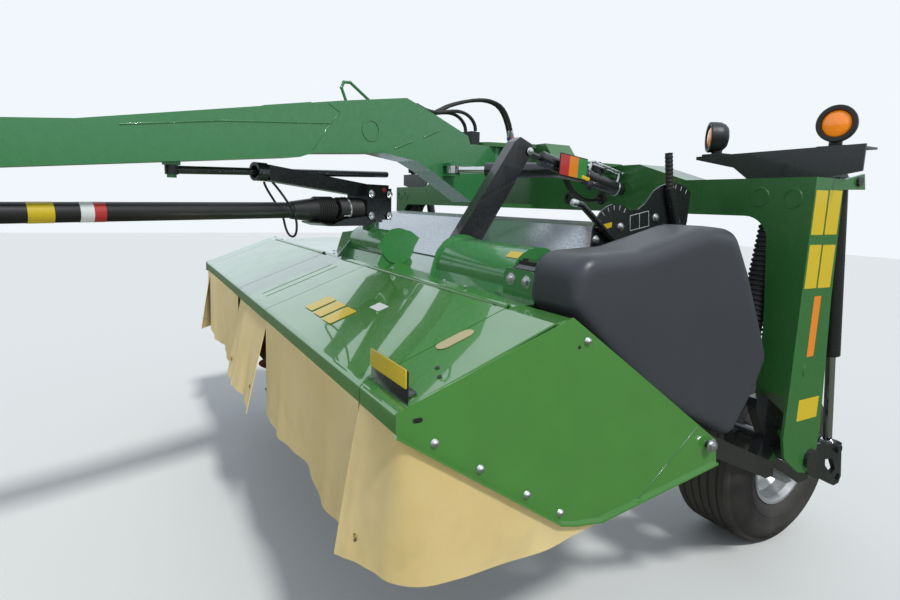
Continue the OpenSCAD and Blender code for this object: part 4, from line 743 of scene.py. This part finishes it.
def bead(points, radius):
    """Weld or fold line through places, its joints rounded off."""
    rods = [bar(a, b, radius, radius * 0.3, 10) for a, b in zip(points, points[1:])]
    balls = []
    for point in points:
        start()
        bpy.ops.mesh.primitive_uv_sphere_add(segments=10, ring_count=6, radius=radius,
                                             location=point)
        balls.append(bpy.context.object)
        bpy.ops.object.transform_apply(location=True)
    return joined(rods + balls)


# Lines on the drawbar's side: bead radius, then (forward, height) of each bend.
side_lines = [
    (0.0030, [(1.262, 2.372), (1.196, 2.337), (1.253, 2.276), (1.355, 2.140)]),
    (0.0040, [(1.253, 2.276), (1.809, 2.228), (2.214, 2.169)]),
    (0.0045, [(0.638, 2.264), (0.517, 2.317)]),
    (0.0045, [(0.844, 2.185), (0.724, 2.233)]),
]
boom_lines = [bead([on_drawbar(side * boom_side, s, z) for s, z in bends], radius)
              for side in sides for radius, bends in side_lines]
settle(joined(boom_lines), "drawbar_folds", boom_green, "drawbar")
hatch_low, hatch_high = on_drawbar(0, 1.585, 2.3212), on_drawbar(0, 1.330, 2.3692)
hatch_across = on_drawbar(0.10, 0, 0) - on_drawbar(0, 0, 0)
hatch = plate((hatch_low + hatch_high) / 2, hatch_across, hatch_high - hatch_low, 0.006, 0.012,
              0.0012)
settle(hatch, "drawbar_hatch", boom_green, "drawbar")
end_bends = [(-0.322, 1.095), (-0.470, 0.979), (-0.603, 0.875)]
frame_lines = [bead([spot(side * hood_half, y, z) for y, z in end_bends], 0.0035) for side in sides]
hole_r, hole_y, hole_z = 0.033, 0.345, 1.234
hole_rim = [(hole_y + hole_r * math.cos(t), hole_z + hole_r * math.sin(t))
            for t in (2.3, 2.8, 3.3, 3.8)]
frame_lines += [bead([spot(side * leg_face, y, z) for y, z in hole_rim], 0.003) for side in sides]
tube_ring = turned([(0, 0.033), (0.004, 0.034), (0.004, 0.040), (0, 0.042)], steps=40)
frame_lines.append(copies(tube_ring, [(spot(side * x, 0.230, z), front, 1.0) for side in sides
                                      for x, z in ((1.785, 1.955), (1.925, 1.950))]))
settle(joined(frame_lines), "frame_beads", frame_green, "frame")

# Swivel gearbox: its red filler plug, the steel clamp that holds the boot with a grease nipple
# below it, and the round black strap that hangs round the shaft from the guide.
shaft_z = 1.838
plug = turned([(0, 0), (0.012, 0), (0.012, 0.011), (0.009, 0.013), (0, 0.013)],
              on_gearbox(0.086, -0.020, 1.958), gear_left, 24)
settle(plug, "filler_plug", film["red"], "gearbox")
clamp = turned([(0, 0.0722), (0, 0.0745), (0.011, 0.0745), (0.011, 0.0722)],
               on_gearbox(0, 0.214, shaft_z), gear_front, 64)
nipple_root, nipple_end = on_gearbox(0.071, 0.222, 1.806), on_gearbox(0.074, 0.245, 1.806)
nipple = [bar(nipple_root, nipple_end, 0.0065, 0.001, 20),
          bar(nipple_end - gear_front * 0.012, nipple_end + gear_front * 0.030, 0.0042, 0.0008, 16)]
settle(joined([clamp] + nipple), "boot_clamp", zinc, "gearbox")


def hose(points, radius):
    """A bent tube through places, drawn as one swept skin."""
    start()
    line = bpy.data.curves.new("route", "CURVE")
    line.dimensions = "3D"
    line.bevel_depth = radius
    line.bevel_resolution = 4
    line.resolution_u = 12
    line.use_fill_caps = True
    route = line.splines.new("NURBS")
    route.points.add(len(points) - 1)
    for knot, point in zip(route.points, points):
        knot.co = (*point, 1)
    route.use_endpoint_u = True
    route.order_u = 4
    piece = bpy.data.objects.new("route", line)
    bpy.context.scene.collection.objects.link(piece)
    alone(piece)
    bpy.ops.object.convert(target="MESH")
    return bpy.context.object


strap_half = [(0.036, 0.712, 1.972), (0.056, 0.692, 1.942), (0.055, 0.588, 1.822),
              (0.055, 0.580, 1.745), (0.028, 0.572, 1.692)]
strap_loop = strap_half + [(-x, s, z) for x, s, z in reversed(strap_half)]
strap = hose([on_gearbox(*p) for p in strap_loop], 0.0060)
settle(strap, "shaft_strap", black_rubber, "gearbox")

# Tie cylinder's fittings: the plate of three colours that marks the ground pressure, with black
# edging, the bright linkage along the cylinder, a clamp, and two hoses into a rubber grommet of
# the beam.
board_front, board_back = spot(0.982, -0.209, 2.050), spot(0.982, -0.033, 2.028)
board_up = Vector((0, 0.005, 0.108))
run = (board_back - board_front) / 3
board_middle = board_front + run * 1.5
for i, shade in enumerate(("red", "orange", "green")):
    band = plate(board_front + run * (i + 0.5) + board_up / 2 + left * 0.0052, run,
                 board_up * 0.94, 0.0008, 0.0015)
    settle(band, f"pressure_band_{shade}", film[shade], "frame")
backing = plate(board_middle + board_up / 2, run * 3.12, board_up * 1.04, 0.005, 0.003, 0.0008)
shelf = plate(board_middle - up * 0.004 - left * 0.030, run * 3.0, left * 0.062, 0.003, 0.003,
              0.0006)
settle(backing, "pressure_board", black_plastic, "frame")
settle(shelf, "pressure_board_shelf", bare_steel, "frame")
tie_pin, tie_end = spot(0.891, -0.359, 2.158), spot(0.985, 0.190, 1.992)
tie = (tie_end - tie_pin).normalized()
tie_up = left.cross(tie).normalized()
rail_rise, rail_half = 0.084, 0.022


def on_tie(share, leftward=0.0, rise=0.0):
    """A place on the tie cylinder, at a share of the way from its pin to its end."""
    return tie_pin.lerp(tie_end, share) + left * leftward + tie_up * rise


linkage = [bar(on_tie(0.66, x, rail_rise), on_tie(1.0, x, rail_rise), 0.006, 0.001, 14)
           for x in (-rail_half, rail_half)]
linkage += [bar(on_tie(share, -0.030, rail_rise), on_tie(share, 0.030, rail_rise), 0.007, 0.001, 14)
            for share in (0.67, 0.83, 0.99)]
linkage += [bar(on_tie(share, 0.0, 0.030), on_tie(share, 0.0, 0.088), 0.008, 0.001, 14)
            for share in (0.67, 0.99)]
linkage.append(bar(on_tie(0.985), on_tie(1.0), 0.0400, 0.001, 40))
settle(joined(linkage), "tie_linkage", zinc, "frame")
tie_clamp = [bar(on_tie(0.63), on_tie(0.68), 0.0425, 0.002, 40),
             plate(on_tie(0.655, 0.040, -0.048), tie * 0.030, tie_up * 0.050, 0.008, 0.006, 0.001)]
settle(joined(tie_clamp), "tie_clamp", black_paint, "frame")
marker = plate(on_tie(0.60, 0.041, -0.020), tie * 0.050, tie_up * 0.020, 0.004, 0.005, 0.001)
settle(marker, "tie_marker", film["yellow"], "frame")
beam_face, grommet_x, grommet_z = 0.229, 0.840, 1.945
grommet = turned([(0, 0.014), (0.010, 0.015), (0.012, 0.022), (0.008, 0.034), (0, 0.038)], steps=32)
grommets = [(spot(x, beam_face, grommet_z), front, 1.0) for x in (grommet_x, 0.560)]
beam_hoses = [copies(grommet, grommets)]
tie_route = [(0.900, -0.10, 2.050), (0.905, -0.08, 1.985), (0.895, 0.02, 1.930),
             (0.870, 0.13, 1.925), (0.842, 0.20, 1.943)]
for aside in (-0.010, 0.012):
    route = [spot(x + aside, y, z) for x, y, z in tie_route]
    route.append(spot(grommet_x + aside * 0.6, beam_face + 0.0005, grommet_z))
    beam_hoses.append(hose(route, 0.0085))
settle(joined(beam_hoses), "tie_hoses", black_rubber, "frame")

# The two hoses that come over the pivot end in steel ferrules, one with a blue plastic collar and
# one with a red one, pressed on at the drawbar's neck.
collar_blue = finish("collar_blue", (0.01, 0.12, 0.50), 0.35, 0.1, 90.0)
for x, paint, shade in ((-0.014, collar_blue, "blue"), (0.016, film["red"], "red")):
    low, middle, high = [on_drawbar(x, s, z) for s, z in (
        (-0.2060, 2.333), (-0.2042, 2.350), (-0.1935, 2.392))]
    settle(bar(low, middle, 0.0150, 0.001, 24), f"hose_collar_{shade}", paint, "drawbar")
    settle(bar(middle, high, 0.0130, 0.001, 24), f"hose_ferrule_{shade}", zinc, "drawbar")

# Lever quadrant: white bars painted as the light that shows through the notches, four bolts, a
# blank framed plate and a blank yellow label, a ribbed rubber grip on the upright lever and a steel
# tip on the bent one. The bolt of the tie cylinder's pin on the lift arm's head goes with the four.
quad_face = 1.5282
lever_bolts = [(spot(quad_face, y, z), left, 0.013) for y, z in (
    (-0.446, 1.759), (-0.310, 1.813), (-0.103, 1.855), (0.016, 1.879))]
lever_bolts.append((spot(0.935, -0.359, 2.158), left, 0.014))
settle(copies(hex_bolt, lever_bolts), "lever_bolts", zinc, "frame")
# White bars painted as the light that shows through the notches.
notch_painted_light = []
for (y, z, r), angles in (((-0.340, 1.785, 0.124), range(64, 167, 17)),
                          ((-0.005, 1.800, 0.208), range(64, 101, 11))):
    for angle in angles:
        ray = Vector((0, math.cos(math.radians(angle)), math.sin(math.radians(angle))))
        middle = spot(quad_face, y, z)
        notch_painted_light.append(bar(middle + ray * (r - 0.026), middle + ray * (r - 0.006), 0.0012,
                               0.0003, 8))
settle(joined(notch_painted_light), "quadrant_notch_painted_light", film["white"], "frame")
low_back, low_front = (-0.141, 1.818), (-0.252, 1.797)
high_back, high_front = (-0.149, 1.883), (-0.258, 1.860)
panel = [bar(spot(quad_face - 0.0008, *a), spot(quad_face - 0.0008, *b), 0.0013, 0.0003, 8)
         for a, b in ((low_front, low_back), (high_front, high_back), (low_front, high_front),
                      ((-0.197, 1.807), (-0.204, 1.871)), (low_back, high_back))]
settle(joined(panel), "quadrant_frame_lines", film["white"], "frame")
label = plate(spot(quad_face, -0.396, 1.815), Vector((0, 0.070, 0.015)), up * 0.022, film_thick,
              0.004)
settle(label, "quadrant_label", film["yellow"], "frame")
grip_low, grip_high = spot(1.544, -0.048, 1.975), spot(1.544, -0.072, 2.126)
grip_len = (grip_high - grip_low).length
grip_rib, grip_groove, grip_ribs = 0.0168, 0.0155, 9
ribs = [(0, 0.0)]
for i in range(grip_ribs):
    ribs += [((i + share) * grip_len / grip_ribs, radius) for share, radius in (
        (0.15, grip_rib), (0.55, grip_rib), (0.7, grip_groove), (1.0, grip_groove))]
ribs += [(grip_len + 0.006, 0.0175), (grip_len + 0.008, 0.0)]
settle(turned(ribs, grip_low, grip_high - grip_low, 28), "lever_grip", black_rubber, "frame")
lever_tip = bar(spot(1.542, -0.570, 1.9045), spot(1.542, -0.596, 1.9095), 0.0145, 0.003, 24)
settle(lever_tip, "lever_tip", zinc, "frame")

# Beacon lamps: black moulded housings with a domed back and a wide front ring on a short foot, and
# a domed amber lens set in the ring, with a faint painted glow. They stand on the folded channels.
amber = finish("amber_lens", (0.90, 0.24, 0.004), 0.12, 0.0, 90.0, bump=0.002, coat=1.0)
# The lens glows faintly of its own: painted light, though the lamp is not lit.
preset(amber.node_tree.nodes["Principled BSDF"],
       {"Emission Color": (1.0, 0.27, 0.005, 1), "Emission Strength": 0.25})
lamp_y, channel_z, lamp_drop = 0.392, 2.153, 0.060
lamp_outward = 20
housing_line = [(-0.045, 0.0), (-0.0445, 0.026), (-0.038, 0.048), (-0.024, 0.062),
                (-0.004, 0.0700), (0.020, 0.0718), (0.041, 0.0718), (0.045, 0.0690),
                (0.045, 0.0560), (0.034, 0.0520), (0.0300, 0.0515), (0.0300, 0.0)]
lens_line = [(0.0302, 0.0), (0.0302, 0.0510), (0.0340, 0.0505), (0.0400, 0.0440),
             (0.0440, 0.0300), (0.0460, 0.0120), (0.0465, 0.0)]
housings, lenses = [], []
for side in sides:
    for x, z, turn_in in ((1.432, 2.242, -60), (1.977, 2.248, 0)):
        angle = math.radians(turn_in + lamp_outward)
        middle, foot = spot(side * x, lamp_y, z), spot(side * x, lamp_y, channel_z)
        facing = Vector((side * math.sin(angle), -math.cos(angle), 0))
        housings.append(turned(housing_line, middle, facing, 64))
        lenses.append(turned(lens_line, middle, facing, 64))
        housings.append(bar(foot, middle - up * lamp_drop, 0.024, 0.003, 32))
        housings.append(plate(foot - up * 0.0005, left * 0.120, -front * 0.078, 0.010, 0.014,
                              0.002))
lamp_skins = settle(joined(housings), "lamp_skins", black_plastic, "frame", 30)
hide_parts("lamp_housings")
lens_skins = settle(joined(lenses), "lamp_lens_skins", amber, "frame", 30)
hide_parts("lamp_lenses")

# Ribbed rubber: the sleeves over the relief springs and the ribs of the boot over the shaft's
# joint. The shaft's guard carries bands of yellow, white and red tape.
shaft_turn = math.radians(16.2348)
shaft_run = Vector((math.sin(shaft_turn), -math.cos(shaft_turn), -0.01924))
joint_at = on_gearbox(0, 0.300, shaft_z)
guard_skin, tape_skin = 0.0422, 0.0432


def ribbed(p, q, inner, outer, count, cap):
    """A sleeve with rounded ribs from p to q."""
    length = (q - p).length
    outline = [(0, cap)]
    for i in range(count):
        outline += [((i + share) * length / count, radius) for share, radius in (
            (0.06, inner), (0.30, outer), (0.62, outer), (0.86, inner))]
    return turned(outline + [(length, inner), (length, cap)], p, q - p, 40)


sleeves = []
for side in sides:
    foot, head = spot(side * 1.810, 0.178, 1.110), spot(side * 1.790, 0.336, 1.850)
    sleeves.append(ribbed(foot.lerp(head, 0.14), foot.lerp(head, 0.98), 0.0465, 0.0530, 30, 0.030))
settle(joined(sleeves), "spring_sleeves", black_rubber, "frame", 40)
boot_ribs = ribbed(joint_at + shaft_run * 0.010, joint_at + shaft_run * 0.120, 0.0668, 0.0735, 8,
                   0.055)
settle(boot_ribs, "joint_ribs", black_rubber, "shaft_rear", 40)
for shade, a, b in (("yellow", 1.335, 1.425), ("white", 1.195, 1.245), ("red", 1.150, 1.195)):
    band = turned([(0, guard_skin), (0, tape_skin), (b - a, tape_skin), (b - a, guard_skin)],
                  joint_at + shaft_run * a, shaft_run, 48)
    settle(band, f"guard_band_{shade}", film[shade], "shaft_rear")

for master in (hex_bolt, coach_bolt, eyelet, tube_ring, grommet):
    bpy.data.objects.remove(master)
